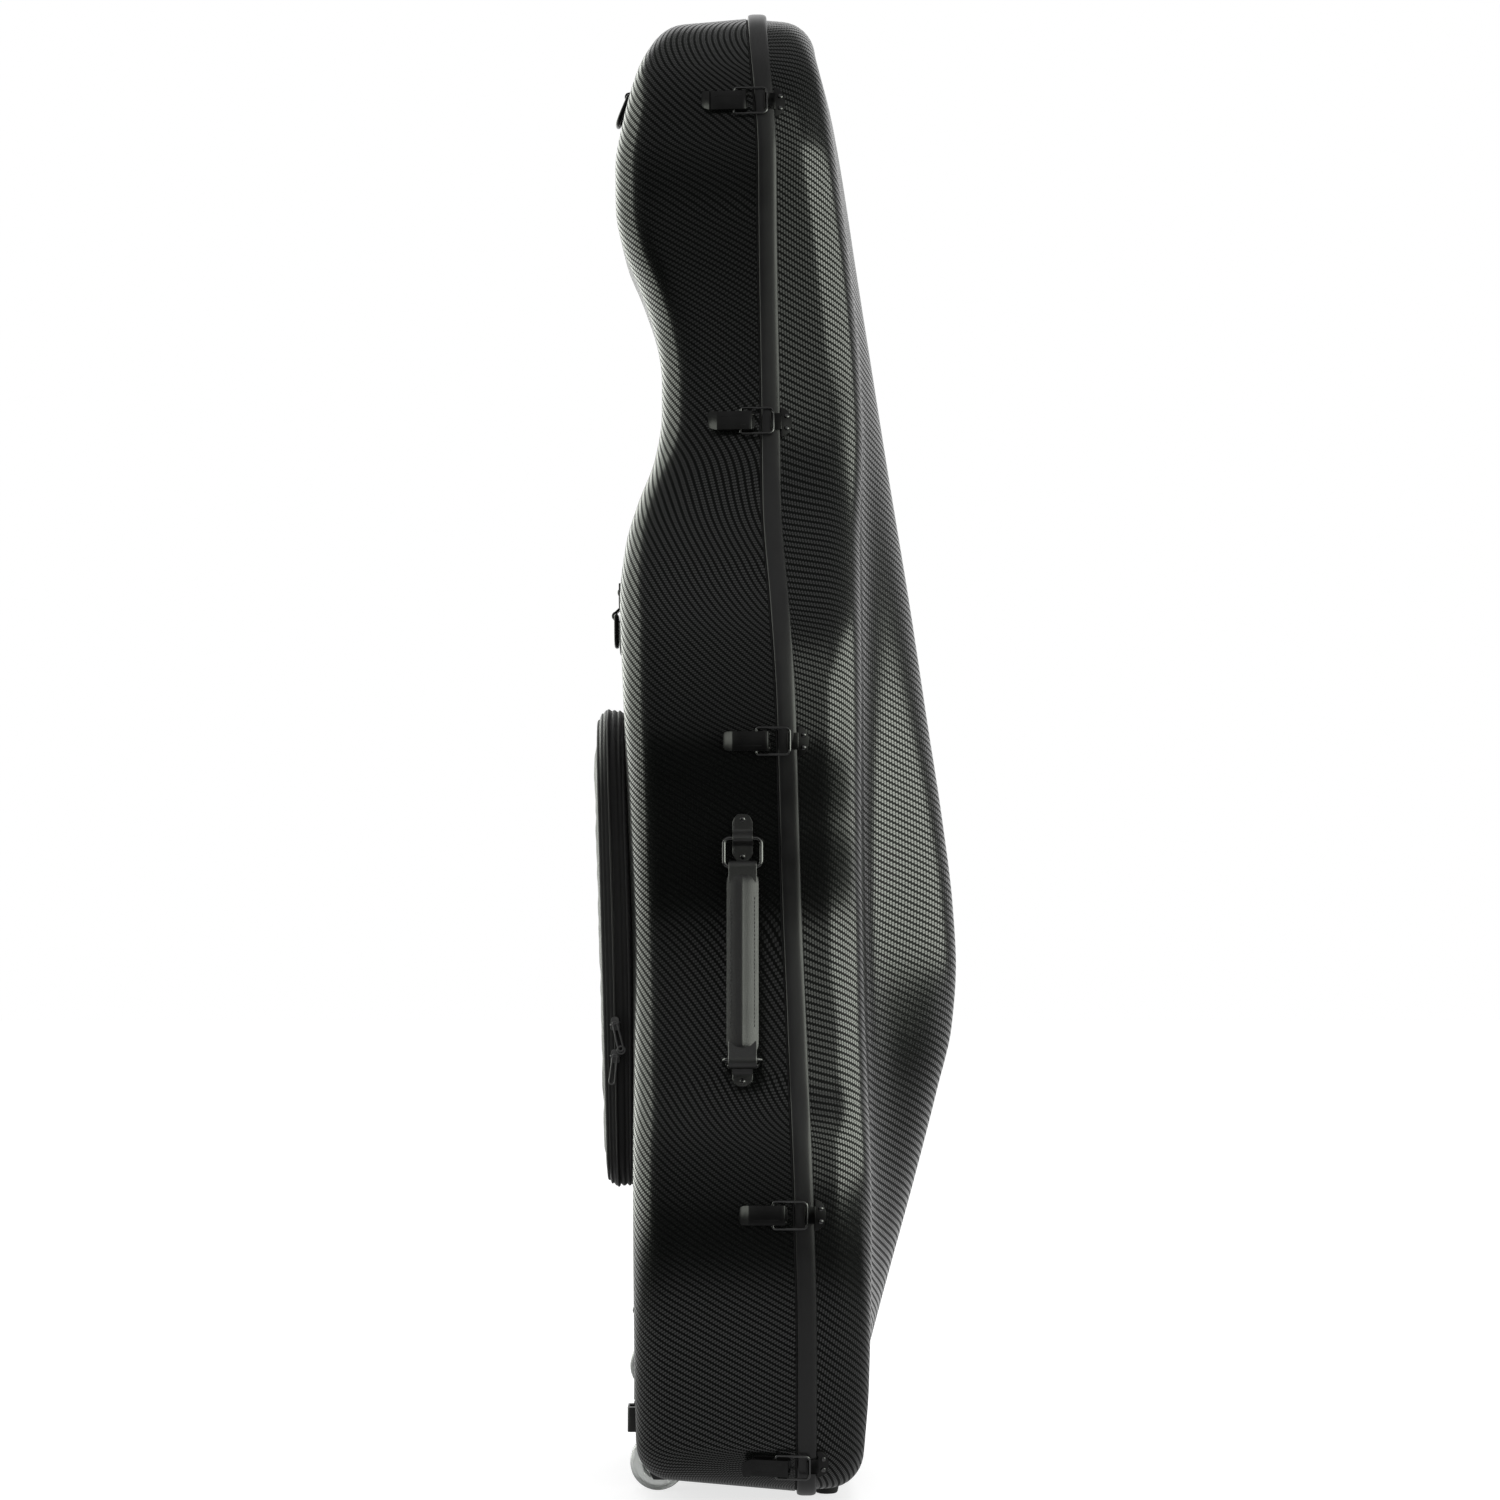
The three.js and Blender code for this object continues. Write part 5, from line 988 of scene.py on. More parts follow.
    # catch: half-round plate, tongue over the bead and a rolled hook
    plateY = case["partingGap"] + case["beadWidth"] + case["seat"]
    barY = tail.y + math.sqrt(latch["bailReach"] ** 2 - drop ** 2)
    hookY = barY - latch["wire"] - case["seat"] - latch["hook"]
    over, hookHalf = case["beadHeight"] + case["seat"], half - 1.2
    arc = [(plateY + latch["catchReach"] * math.sin(a), -latch["catchRadius"] * math.cos(a))
           for a in np.linspace(0, math.pi, 25)]
    sink = -math.tan(case["draft"]) * plateY - 1
    stepped = [(0, plateY), (over - 1, plateY), (over - 0.3, plateY - 0.3), (over, plateY - 1),
               (over, hookY + 2), (over + 0.6, hookY + 0.6), (latch["hookRise"] - 0.6, hookY),
               (latch["hookRise"], hookY + 0.3), (latch["hookRise"], hookY + 0.9),
               (over + 1.3, hookY + 1.3), (over + 1.1, hookY + 2.2), (over + 1.1, plateY + 0.3),
               (over + 0.4, plateY + 1.1), (0, plateY + 1.1)]
    parts = [prismPart(arc, sink, latch["catchThickness"], "yzx"),
             prismPart(stepped, -hookHalf, hookHalf, "xyz", mark=1),
             prismPart(stepped[:5] + stepped[-4:], -hookHalf - 0.15, hookHalf + 0.15, "xyz")]
    makePiece(f"latchCatch{number}", makeMesh("latchCatch", parts, rim, 0.22), steel, "lid",
              [f"latch_catch_{number}"])
    addHeads("lid", "ringSteel", latch["rivet"], latch["rivetRise"], rim,
             [(latch["catchThickness"] - 0.1, plateY + 5.4, z)
              for z in (-latch["rivetAt"], latch["rivetAt"])])


for number, share in enumerate(latch["shares"], 1):
    latchPieces(number, share * case["height"])
print("latches made")


# carry handle
handle = {
    "shares": (0.2874, 0.4363), "behind": 30, "reach": 25, "width": 33, "corner": 5, "wire": 1.8,
    "chapeWidth": 18, "chapeLength": 42, "below": 17.6, "chape": 2.2, "rest": math.radians(80),
    "half": 14, "thick": 6, "endHalf": 12.4, "endThick": 3.2, "loop": 5, "openLoop": 7.4,
}


def chapePieces(name, node, matrix, low, lift):
    high = low + handle["chapeLength"]
    barX, half = handle["wire"] + case["seat"], handle["chapeWidth"] / 2
    base = -lift - 0.6
    pointed = []
    for z in np.linspace(low, high, 43):
        near = min(z - low, high - z)
        pointed.append(half * min(1, 0.35 + 0.65 * math.sqrt(max(near, 0) / 7)) if near < 7 else half)
    flat = [(base + 1.2, 0, z) for z in np.linspace(low, high, 43)]
    hump = []
    for z in np.linspace(low, high, 43):
        away = min(abs(z) / 7.5, 1)
        hump.append((lerp(barX + 3.3, base + 3.1, away * away * (3 - 2 * away)), 0, z))
    parts = [ribbonPart(flat, pointed, 2.2), ribbonPart(hump, np.array(pointed) * 0.985, 1.9)]
    makePiece(name, makeMesh(name, parts, matrix), [finishes["leather"]], "back", [node])
    addHeads("back", "ringSteel", 2.6, 1.4, matrix, [(base + 3.9, 0, low + 4.6), (base + 3.9, 0, high - 4.6)])
    rim = []
    for s in (-1, 1):
        for a, b in ((low + 8, -9), (9, high - 8)):
            if b - a > 3:
                rim.append(([(base + 4.15, s * (half - 1.8), z) for z in np.linspace(a, b, 12)], False))
    placed = [([tuple(matrix @ Vector(p)) for p in path], closed) for path, closed in rim]
    if placed:
        seam = grown(name + "Stitches", pathSource(placed), "stitches", {
            "Stitch Pitch": 0.0032, "Stitch Length": 0.0023, "Thread Radius": 0.0004,
            "Thread Finish": finishes["thread"]})
        makePiece(name + "Stitches", seam, None, "back")


def gripMesh(length, pivot):
    rows = []
    stations = [(0.05, 0.25), (0.056, 0.55), (0.066, 0.8), (0.08, 0.93), (0.1, 1), (0.17, 1), (0.25, 1),
                (0.35, 1), (0.5, 1), (0.65, 1), (0.75, 1), (0.83, 1), (0.9, 1), (0.918, 0.93), (0.933, 0.8),
                (0.944, 0.55), (0.95, 0.25)]
    for place, swell in stations:
        wide = lerp(handle["endHalf"], handle["half"], swell)
        thick = lerp(handle["endThick"], handle["thick"], swell)
        row = []
        for t in np.linspace(0, 1, 15):  # the outer face: two flanks that meet in a fold
            y = lerp(-wide, wide, t)
            a = abs(y) / wide
            flank = (1 - a ** 1.7) * (thick - 0.6) + 0.6 * math.exp(-(y / 1.1) ** 2) * (0.4 + 0.6 * swell)
            dip = 0.55 * swell * math.exp(-((y - 1.6) / 0.7) ** 2)
            row.append((-(flank - dip) - 0.2, y, -length * place))
        for t in np.linspace(1, 0, 11)[1:-1]:
            y = lerp(-wide, wide, t)
            a = abs(y) / wide
            row.append((thick * 0.75 * (1 - a ** 3), y * 0.985, -length * place))
        rows.append(row)
    parts = [gridPart(rows)]
    # the ends are turned round the rings' bars
    for centre, r, sign in ((0.0, handle["loop"], 1), (-length - 1.2, handle["openLoop"], -1)):
        inner = r - 1.9
        path = [(-1.2, 0, centre - sign * (r + 9))]
        for a in np.linspace(-0.5, math.pi + 0.5, 17):
            mid = (r + inner) / 2
            path.append((-mid * math.cos(a), 0, centre + sign * mid * math.sin(a)))
        path.append((1.2, 0, centre - sign * (r + 9)))
        parts.append(ribbonPart(path, handle["endHalf"], 1.9))
    return makeMesh("handleGrip", parts, pivot)


def handlePieces():
    barX = handle["wire"] + case["seat"]
    pins, lift = [], handle["wire"] + case["seat"] * 2 + handle["chape"] / 2
    for i, share in enumerate(handle["shares"]):
        height = share * case["height"]
        point, normal = wallAt(height, -1)
        inward = math.tan(case["draft"]) * (handle["behind"] + float(partingDepth(height)))
        spot = point + normal * (lift - inward)
        place = wallMatrix(height, -1, 0)
        place.translation = (spot[0], handle["behind"], spot[1])
        low = -handle["chapeLength"] / 2 if i else -handle["below"]
        name = ("handleTabLower", "handleTabUpper")[i]
        chapePieces(name, ("handle_chape_lower", "handle_chape_upper")[i], place, low, lift)
        pins.append(place @ Vector((barX, 0, 0)))
    lower, upper = pins
    down = lower - upper
    span, slope = down.length, math.atan2(-down.x, -down.z)
    w, reach = handle["width"] / 2, handle["reach"]
    loop = roundedPath([(0, w, 0), (0, -w, 0), (0, -w, -reach), (0, w, -reach)], handle["corner"], 7, True)
    for name, node, pin, angle in (("handleRingUpper", "handle_ring_upper", upper, slope),
                                   ("handleRingLower", "handle_ring_lower", lower,
                                    slope + math.pi - handle["rest"])):
        matrix = Matrix.Translation(pin) @ turnAbout(angle, "Y")
        parts = [tubePart(loop, handle["wire"], 16, True, (1, 0, 0))]
        if node == "handle_ring_lower":  # a roller on the bar that the grip hangs from
            sleeve = [(3.3, -12.5), (3.55, -12.2), (3.6, -11), (3.6, 11), (3.55, 12.2), (3.3, 12.5)]
            parts.append(lathePart(sleeve, (0, 0, -reach), (0, 1, 0), 24, mark=1))
        makePiece(name, makeMesh(name, parts, matrix), [finishes["ringSteel"], finishes["leather"]], node,
                  [node])
    out, dropped = reach * math.sin(handle["rest"]), span - reach - reach * math.cos(handle["rest"])
    length, tilt = math.hypot(out, dropped), math.atan2(out, dropped)
    pivot = Matrix.Translation(upper) @ turnAbout(slope, "Y") @ shiftBy(0, 0, -reach) @ turnAbout(tilt, "Y")
    grip = makePiece("handleGrip", gripMesh(length, pivot), [finishes["leather"]], "handle_grip",
                     ["handle_grip"])
    rows = []
    for s in (-1, 1):
        path = []
        for t in np.linspace(0.17, 0.83, 40):
            y = s * 10.6
            a = abs(y) / handle["half"]
            path.append(tuple(pivot @ Vector((-((1 - a ** 1.7) * 5.4) - 0.35, y, -length * t))))
        rows.append((path, False))
    seam = grown("gripStitches", pathSource(rows), "stitches", {
        "Stitch Pitch": 0.0036, "Stitch Length": 0.0026, "Thread Radius": 0.00045,
        "Thread Finish": finishes["thread"]})
    makePiece("gripStitches", seam, None, "handle_grip")


handlePieces()
print("handle made")


# strap rings on the back
anchor = {
    "places": (("head", 0, 0.9434), ("left", -82, 0.5853), ("right", 82, 0.5853)),
    "width": 24, "length": 34, "wire": 2, "saddle": 4.2, "ringWidth": 34, "ringReach": 27, "corner": 11.25,
}


def anchorPieces(name, x, share):
    height = share * case["height"]
    surface = lambda z: float(backSurface(x, z))
    slope = (surface(height + anchor["length"]) - surface(height - anchor["ringReach"])) / (
        anchor["length"] + anchor["ringReach"])
    normal, upward = Vector((0, 1, slope)).normalized(), Vector((0, -slope, 1)).normalized()
    across = upward.cross(normal)
    point = Vector((x, -surface(height), height)) + normal * anchor["wire"]
    place = Matrix.Translation(point) @ Matrix((normal, across, upward)).transposed().to_4x4()
    barX, half = anchor["wire"] + case["seat"], anchor["width"] / 2
    low, high = -anchor["saddle"], anchor["length"] - anchor["saddle"]
    path = [(-0.9, z) for z in np.linspace(high, 7, 8)]
    for a in np.linspace(0.25, math.pi - 0.55, 12):
        path.append((barX + 3.2 * math.sin(a), 3.2 * math.cos(a)))
    path = np.array([(p[0], 0, p[1]) for p in path])
    halves = [half * (0.72 + 0.28 * min(1, i / 3)) for i in range(len(path))]
    flat = [(-2.0, 0, z) for z in np.linspace(low, high, 12)]
    parts = [ribbonPart(path, halves, 1.9), ribbonPart(flat, half * 0.98, 1.6)]
    title = name.capitalize()
    makePiece(f"strapTab{title}", makeMesh("strapTab", parts, place, 0), [finishes["blackSteel"]], "back",
              [f"strap_anchor_{name}"])
    addHeads("back", "ringSteel", 2.8, 1.5, place, [(0.0, y, 21.5) for y in (-6.2, 6.2)])
    ring = place @ shiftBy(barX, 0, 0)
    w, r = anchor["ringWidth"] / 2, anchor["ringReach"]
    loop = roundedPath([(0, w, 0), (0, -w, 0), (0, -w, -r), (0, w, -r)],
                       (2, 2, anchor["corner"], anchor["corner"]), 8, True)
    makePiece(f"strapRing{title}",
              makeMesh("strapRing", [tubePart(loop, anchor["wire"], 16, True, (1, 0, 0))], ring),
              [finishes["blackSteel"]], f"strap_ring_{name}", [f"strap_ring_{name}"])


for entry in anchor["places"]:
    anchorPieces(*entry)
print("strap rings made")


# wheels and their corner plates
def wheelPiece(side, level):
    x, z = side * wheels["spread"], wheels["radius"] + level * wheels["rise"]
    r, half = wheels["radius"], wheels["width"] / 2
    tyre = [(14.5, -half + 0.8), (r - 4, -half), (r - 1.7, -half + 0.7), (r - 0.45, -half + 2.3),
            (r, -half + 4.5), (r, half - 4.5), (r - 0.45, half - 2.3), (r - 1.7, half - 0.7), (r - 4, half),
            (14.5, half - 0.8)]
    hub = [(3.4, -half + 2.0), (6.2, -half + 2.0), (6.6, -half + 3.6), (12.4, -half + 3.8), (13, -half + 1.6),
           (14.7, -half + 1.4), (14.7, half - 1.4), (13, half - 1.6), (12.4, half - 3.8), (6.6, half - 3.6),
           (6.2, half - 2.0), (3.4, half - 2.0)]
    centre = (x, wheels["behind"], z)
    parts = [lathePart(tyre, centre, (1, 0, 0), 64, True), lathePart(hub, centre, (1, 0, 0), 40, True, 1)]
    title = ("Lower", "Upper")[level] + ("Left", "Right")[side > 0]
    node = f"wheel_{('lower', 'upper')[level]}_{('left', 'right')[side > 0]}"
    makePiece(f"wheel{title}", makeMesh("wheel", parts, None, 0.3, sharp=42),
              [finishes["wheel"], finishes["plastic"]], node, [node])


def carrierMesh(side):
    x, y = side * wheels["spread"], wheels["behind"]
    half = wellHalf + wheels["margin"]
    top = wheels["radius"] + wheels["rise"] + wheels["top"]
    low = y - wheels["radius"] - wheels["margin"]
    plate = shellMesh("carrierPlate", "back", (-0.15 - wheels["plate"], 0), (-0.15, 0), shellCounts, fineLine)
    region = makeMesh("region", [boxPart((x - half, low, -20), (x + half, 250, top))])
    plate = cutMesh(plate, [region], "INTERSECT")
    return cutMesh(plate, [makeMesh("well", [wellMesh(side, level, -wheels["well"])]) for level in (0, 1)])


def carrierPiece(side):
    name = ("left", "right")[side > 0]
    x, y = side * wheels["spread"], wheels["behind"]
    plate = carrierMesh(side)
    parts = []
    outer = lambda z: -float(backSurface(x, z)) + wheels["plate"]
    for level in (0, 1):  # tubs round the wheels
        z = wheels["radius"] + level * wheels["rise"]
        r0, r1 = wellRadius - wheels["well"], wellRadius
        end = math.pi * 1.5 if level else math.pi
        rows = []
        for a in np.linspace(math.pi / 2, end, 33):
            c, s = math.cos(a), math.sin(a)
            rows.append([(x - wellHalf, y + r0 * c, z + r0 * s), (x + wellHalf, y + r0 * c, z + r0 * s),
                         (x + wellHalf, y + r1 * c, z + r1 * s), (x - wellHalf, y + r1 * c, z + r1 * s)])
        first = outer(z + r0) - y
        rows.insert(0, [(p[0], y + first, p[2]) for p in rows[0]])
        if level:
            last = outer(z - r0) - y
            rows.append([(p[0], y + last, p[2]) for p in rows[-1]])
        else:
            rows.append([(p[0], p[1], 10.5) for p in rows[-1]])
        parts.append(gridPart(rows))
        for s in (-1, 1):  # cheeks
            cheek = []
            for a in np.linspace(math.pi / 2, end, 33):
                cheek.append((y + r1 * math.cos(a), z + r1 * math.sin(a)))
            if level:
                cheek = [(outer(z + r1), z + r1)] + cheek + [(outer(z - r1), z - r1)]
            else:
                cheek = [(outer(z + r1), z + r1)] + cheek + [(y - r1, 10.5), (y + 4, 10.5), (outer(40), 40)]
            a, b = sorted((x + s * (wellHalf - wheels["well"]), x + s * wellHalf))
            parts.append(prismPart(cheek, a, b, "yzx"))
        parts.append(tubePart([(x - wellHalf + 1, y, z), (x + wellHalf - 1, y, z)], wheels["axle"], 20,
                              mark=1))
    middle = wheels["radius"] + wheels["rise"] * wheels["barShare"]
    wall = -float(backSurface(x, middle))
    face, tall = wall + wheels["plate"] + wheels["barProud"], wheels["barHeight"] / 2
    bridge = roundedPath([(x - wellHalf, wall - 1, 0), (x - wellHalf, face, 0), (x + wellHalf, face, 0),
                          (x + wellHalf, wall - 1, 0), (x + wellHalf / 2, wall - 1, 0),
                          (x + wellHalf / 2, face - 1.6, 0), (x - wellHalf / 2, face - 1.6, 0),
                          (x - wellHalf / 2, wall - 1, 0)],
                         (0.1, 3, 3, 0.1, 0.1, 1.2, 1.2, 0.1), 5, True)
    parts.append(prismPart(bridge[:, :2], middle - tall, middle + tall))
    fittings = makeMesh("carrierFittings", parts, None, 0.5, sharp=40)
    work = bmesh.new()
    work.from_mesh(plate)
    work.from_mesh(fittings)
    whole = bpy.data.meshes.new("carrier")
    work.to_mesh(whole)
    work.free()
    whole.shade_smooth()
    whole.set_sharp_from_angle(angle=math.radians(38))
    makePiece("wheelCarrier" + name.capitalize(), whole, [finishes["plastic"], finishes["brightSteelAndPaintedGlint"]],
              "back", [f"wheel_carrier_{name}"])
    half = wellHalf + wheels["margin"] - 4.5
    addHeads("back", "blackSteel", 3, 1.3, Matrix.Identity(4),
             [(x + s * half, outer(z), z) for s in (-1, 1) for z in (80, 163)], (0, 1, 0))


for side in (-1, 1):
    carrierPiece(side)
    for level in (0, 1):
        wheelPiece(side, level)
print("wheels and carriers made")

foot = {"radius": 10, "top": 12, "spread": 130, "before": 45, "height": 13}
for side, name in ((-1, "Left"), (1, "Right")):
    profile = [(foot["radius"] - 2.2, 0), (foot["radius"] - 0.8, 0.4), (foot["radius"], 1.6),
               (foot["top"] - 0.4, 9.4), (foot["top"], 10.4), (foot["top"], foot["height"])]
    centre = (side * foot["spread"], -foot["before"], 0)
    mesh = makeMesh("foot", [lathePart(profile, centre, (0, 0, 1), 48)], None, 0.3)
    makePiece("foot" + name, mesh, [finishes["rubber"]], "lid", [f"foot_{name.lower()}"])
print("feet made")


# pocket on the back
pocket = {
    "bottom": 0.2025, "top": 0.5227, "half": 135, "topRadius": 70, "bottomRadius": 34,
    "behind": 163, "lean": math.radians(1.5), "clear": 0.8, "least": 9, "columns": 240, "rings": 40,
    "seams": (0, 0.09, 0.27, 0.5, 0.76, 0.9, 1), "rib": 0.9, "endRib": 2.6, "topReach": 90, "bottomReach": 26,
    "outerEdge": (8, 27, 15), "wallEdge": (3, 22, 6), "middle": 90, "rowPitch": 5.5, "sag": 5.5, "slack": 1.0,
    "frames": 20, "pressure": 4.0, "growth": 0.01, "most": 6.5, "zip": 0.58,
    "topMargin": 36, "bottomMargin": 24, "stretch": 12, "shear": 6, "bending": 3.0,
}


def pocketFace(z):  # the outer face's distance behind the datum
    return pocket["behind"] - math.tan(pocket["lean"]) * (pocket["top"] * case["height"] - z)


def pocketWall(p):
    return pocket["clear"] - backSurface(p[:, 0], p[:, 1])


def pocketOutline():  # points in x and z from the middle of the lower edge, and their ways inwards
    low, high, half = pocket["bottom"] * case["height"], pocket["top"] * case["height"], pocket["half"]
    wide, tight = pocket["topRadius"], pocket["bottomRadius"]
    corners = [(half, low, 0), (half, high, 0), (-half, high, 0), (-half, low, 0)]
    path = roundedPath(corners, (tight, wide, wide, tight), 12, True)[:, :2]
    closed = np.vstack([path, path[:1]])
    gone = np.concatenate([[0], np.cumsum(np.linalg.norm(np.diff(closed, axis=0), axis=1))])
    at = np.linspace(0, gone[-1], pocket["columns"], endpoint=False) - (half - tight)
    points = np.stack([np.interp(at % gone[-1], gone, closed[:, k]) for k in (0, 1)], 1)
    along = np.roll(points, -1, 0) - np.roll(points, 1, 0)
    along /= np.linalg.norm(along, axis=1)[:, None]
    return points, np.stack([-along[:, 1], along[:, 0]], 1)


def pocketRing(share, lift=0.0):  # the gusset's ring at a share of the way from the case to the outer face
    points, inward = pocketOutline()
    z = points[:, 1]
    ease = lambda t: np.clip(t, 0, 1) ** 2 * (3 - 2 * np.clip(t, 0, 1))
    top = ease((z - pocket["top"] * case["height"]) / pocket["topReach"] + 1)
    bottom = ease((pocket["bottom"] * case["height"] - z) / pocket["bottomReach"] + 1)
    turned = lambda t: 1 - math.sqrt(max(0, 1 - min(max(t, 0), 1) ** 2))
    sized = lambda sizes: lerp(lerp(sizes[0], sizes[1], top), sizes[2], bottom)
    inset = sized(pocket["outerEdge"]) * turned((share - 0.66) / 0.34)
    inset = inset + sized(pocket["wallEdge"]) * turned((0.22 - share) / 0.22)
    cell = min(np.searchsorted(pocket["seams"], share, side="right"), len(pocket["seams"]) - 1)
    low, high = pocket["seams"][cell - 1], pocket["seams"][cell]
    valley = abs(2 * (share - low) / (high - low) - 1) ** 2.2
    inset = inset + valley * lerp(pocket["rib"], pocket["endRib"], np.maximum(top ** 3, bottom)) - lift
    points = points + inward * inset[:, None]
    near = pocketWall(points)
    far = np.maximum(pocketFace(points[:, 1]), near + pocket["least"])
    return np.stack([points[:, 0], lerp(near, far, share), points[:, 1]], 1)


def pocketPanel(ring, shares, level):  # rows from a ring to the panel's middle line
    middle = (pocket["bottom"] + pocket["top"]) / 2 * case["height"]
    centre = np.stack([ring[:, 0] * 0,
                       np.clip(ring[:, 2], middle - pocket["middle"], middle + pocket["middle"])], 1)
    rows = []
    for share in shares:
        place = lerp(ring[:, [0, 2]], centre, share)
        rows.append(np.stack([place[:, 0], level(place, share), place[:, 1]], 1))
    return rows


def pocketSwell(mesh, firstFree):  # the outer panel fills with air between its pinned seams
    holder = holderFor(mesh)
    rest = np.zeros(len(mesh.vertices) * 3)
    mesh.vertices.foreach_get("co", rest)
    group = holder.vertex_groups.new(name="seams")
    group.add([i for i in range(len(mesh.vertices)) if not firstFree[i]], 1.0, "REPLACE")
    cloth = holder.modifiers.new("cloth", "CLOTH")
    how = cloth.settings
    how.quality, how.mass, how.air_damping = 8, 0.2, 2.0
    how.tension_stiffness = how.compression_stiffness = pocket["stretch"]
    how.shear_stiffness, how.bending_stiffness = pocket["shear"], pocket["bending"]
    how.vertex_group_mass = "seams"
    how.use_pressure, how.uniform_pressure_force = True, pocket["pressure"]
    how.shrink_min = -pocket["growth"]
    how.effector_weights.gravity = 0
    cloth.collision_settings.use_collision = False
    cloth.point_cache.frame_start, cloth.point_cache.frame_end = 1, pocket["frames"]
    for number in range(1, pocket["frames"] + 1):
        bpy.context.scene.frame_set(number)
    swollen = evaluatedMesh(holder, "backPocket")
    bpy.context.scene.frame_set(1)
    moved = np.zeros(len(swollen.vertices) * 3)
    swollen.vertices.foreach_get("co", moved)
    step = (moved - rest).reshape(-1, 3)
    length = np.linalg.norm(step, axis=1, keepdims=True)
    most = pocket["most"] * millimetre
    step *= np.minimum(1, most / np.maximum(length, 1e-9))
    print("pocket swell mm:", round(float(length.max()) * 1000, 2))
    swollen.vertices.foreach_set("co", (rest.reshape(-1, 3) + step).ravel())
    return swollen


def pocketPiece():
    rings = [pocketRing(0.5 - 0.5 * math.cos(math.pi * k / pocket["rings"]))
             for k in range(pocket["rings"] + 1)]
    wallShares = (1.0, 0.75, 0.5, 0.25)
    back = pocketPanel(rings[0], wallShares, lambda place, share: pocketWall(place))
    count = round(pocket["half"] / pocket["rowPitch"])
    ripple = lambda place: np.sin(place[:, 0] / 31 + 1.3) * np.sin(place[:, 1] / 47 + 0.6 + place[:, 0] / 90)
    sag = pocket["sag"]
    face = pocketPanel(rings[-1], [(k + 1) / count for k in range(count)], lambda place, share: np.maximum(
        pocketFace(place[:, 1]), pocketWall(place) + pocket["least"])
        - sag * min(1, share * 5) + pocket["slack"] * math.sin(share * math.pi / 2) * (1 + ripple(place)))
    mesh = makeMesh("backPocket", [gridPart(back + rings + face, caps=False)], sharp=60)
    places = np.zeros(len(mesh.vertices) * 3)
    mesh.vertices.foreach_get("co", places)
    own = fromFrame(places.reshape(-1, 3))
    edge = np.abs(own[:, 0]) < pocket["half"] - pocket["outerEdge"][0] - pocket["rowPitch"] * 1.5
    outside = own[:, 1] > pocketWall(own[:, [0, 2]]) + pocket["least"] * 0.9
    tall = own[:, 2] < pocket["top"] * case["height"] - pocket["topMargin"]
    tall &= own[:, 2] > pocket["bottom"] * case["height"] + pocket["bottomMargin"]
    mesh = pocketSwell(mesh, edge & outside & tall)
    holder = holderFor(mesh)
    finer = holder.modifiers.new("finer", "SUBSURF")
    finer.levels = finer.render_levels = 1
    mesh = evaluatedMesh(holder, "backPocket")
    mesh.shade_smooth()
    piece = makePiece("backPocket", mesh, [finishes["pocket"]], "back", ["back_pocket"])
    for name, shares, radius, finish in (("pocketPiping", (0.1, 0.905), 0.0017, "piping"),
                                         ("pocketZip", (pocket["zip"],), 0.0013, "plastic")):
        paths = [(pocketRing(share, lift=-0.2), True) for share in shares]
        cord = grown(name, pathSource(paths), "cord", {
            "Cord Radius": radius, "Cord Sides": 10, "Cord Finish": finishes[finish]})
        makePiece(name, cord, None, "back")


pocketPiece()
print("pocket made")


# zip sliders and their pulls
zipper = {
    "rises": (148, 119), "thickness": 3.6, "inset": 19, "pull": 25,
    "lean": (math.radians(12), math.radians(-8)), "eye": 2.2, "bridge": 0.9, "clear": 0.4,
    "wire": 0.85, "ring": 3.4, "ringWire": 0.8,
}


def zipPieces(i, rise):
    number = i + 1
    turn = Matrix(((-1, 0, 0), (0, -1, 0), (0, 0, 1))).transposed().to_4x4()
    place = turnAbout(-pocket["lean"], "X") @ turn
    place.translation = (-pocket["half"] - case["seat"], pocket["behind"] - zipper["inset"],
                         pocket["bottom"] * case["height"] + rise)
    bridgeX = zipper["thickness"] + zipper["eye"] + zipper["clear"]
    outlinePoints = roundedPath([(-4.5, -6, 0), (4.5, -6, 0), (3.2, 6, 0), (-3.2, 6, 0)], (2, 2, 2.6, 2.6),
                                5, True)
    bridge = roundedPath([(1, 0, -4.4), (bridgeX, 0, -4.4), (bridgeX, 0, 4.4), (1, 0, 4.4)], 1.6, 5)
    lean = turnAbout(zipper["lean"][i], "X")
    beam = tubePart([tuple(lean @ Vector((p[0], p[2] * 0.86, 0))) for p in bridge], zipper["bridge"], 10)
    parts = [prismPart(outlinePoints[:, :2], 0, zipper["thickness"], "yzx"), beam]
    makePiece(f"zipSlider{number}", makeMesh("zipSlider", parts, place, 0.4), [finishes["greyWire"]],
              f"zip_slider_{number}", [f"zip_slider_{number}"])
    pivot = place @ lean @ shiftBy(bridgeX, 0, 0)
    long = zipper["pull"]
    loop = roundedPath([(0, 1.9, 1.6), (0, -1.9, 1.6), (0, -2.5, -long), (0, 2.5, -long)],
                       (1.4, 1.4, 2.4, 2.4), 7, True)
    parts = [tubePart(loop, zipper["wire"], 12, True, (1, 0, 0))]
    if i == 0:
        r = zipper["ring"]
        circle = [(0, r * math.cos(a), -long + 1 + r * math.sin(a))
                  for a in np.linspace(0, 2 * math.pi, 28, endpoint=False)]
        parts.append(tubePart(circle, zipper["ringWire"], 10, True, (1, 0, 0)))
    makePiece(f"zipPull{number}", makeMesh("zipPull", parts, pivot), [finishes["greyWire"]],
              f"zip_pull_{number}", [f"zip_pull_{number}"])


for i, rise in enumerate(zipper["rises"]):
    zipPieces(i, rise)
print("zip sliders made")


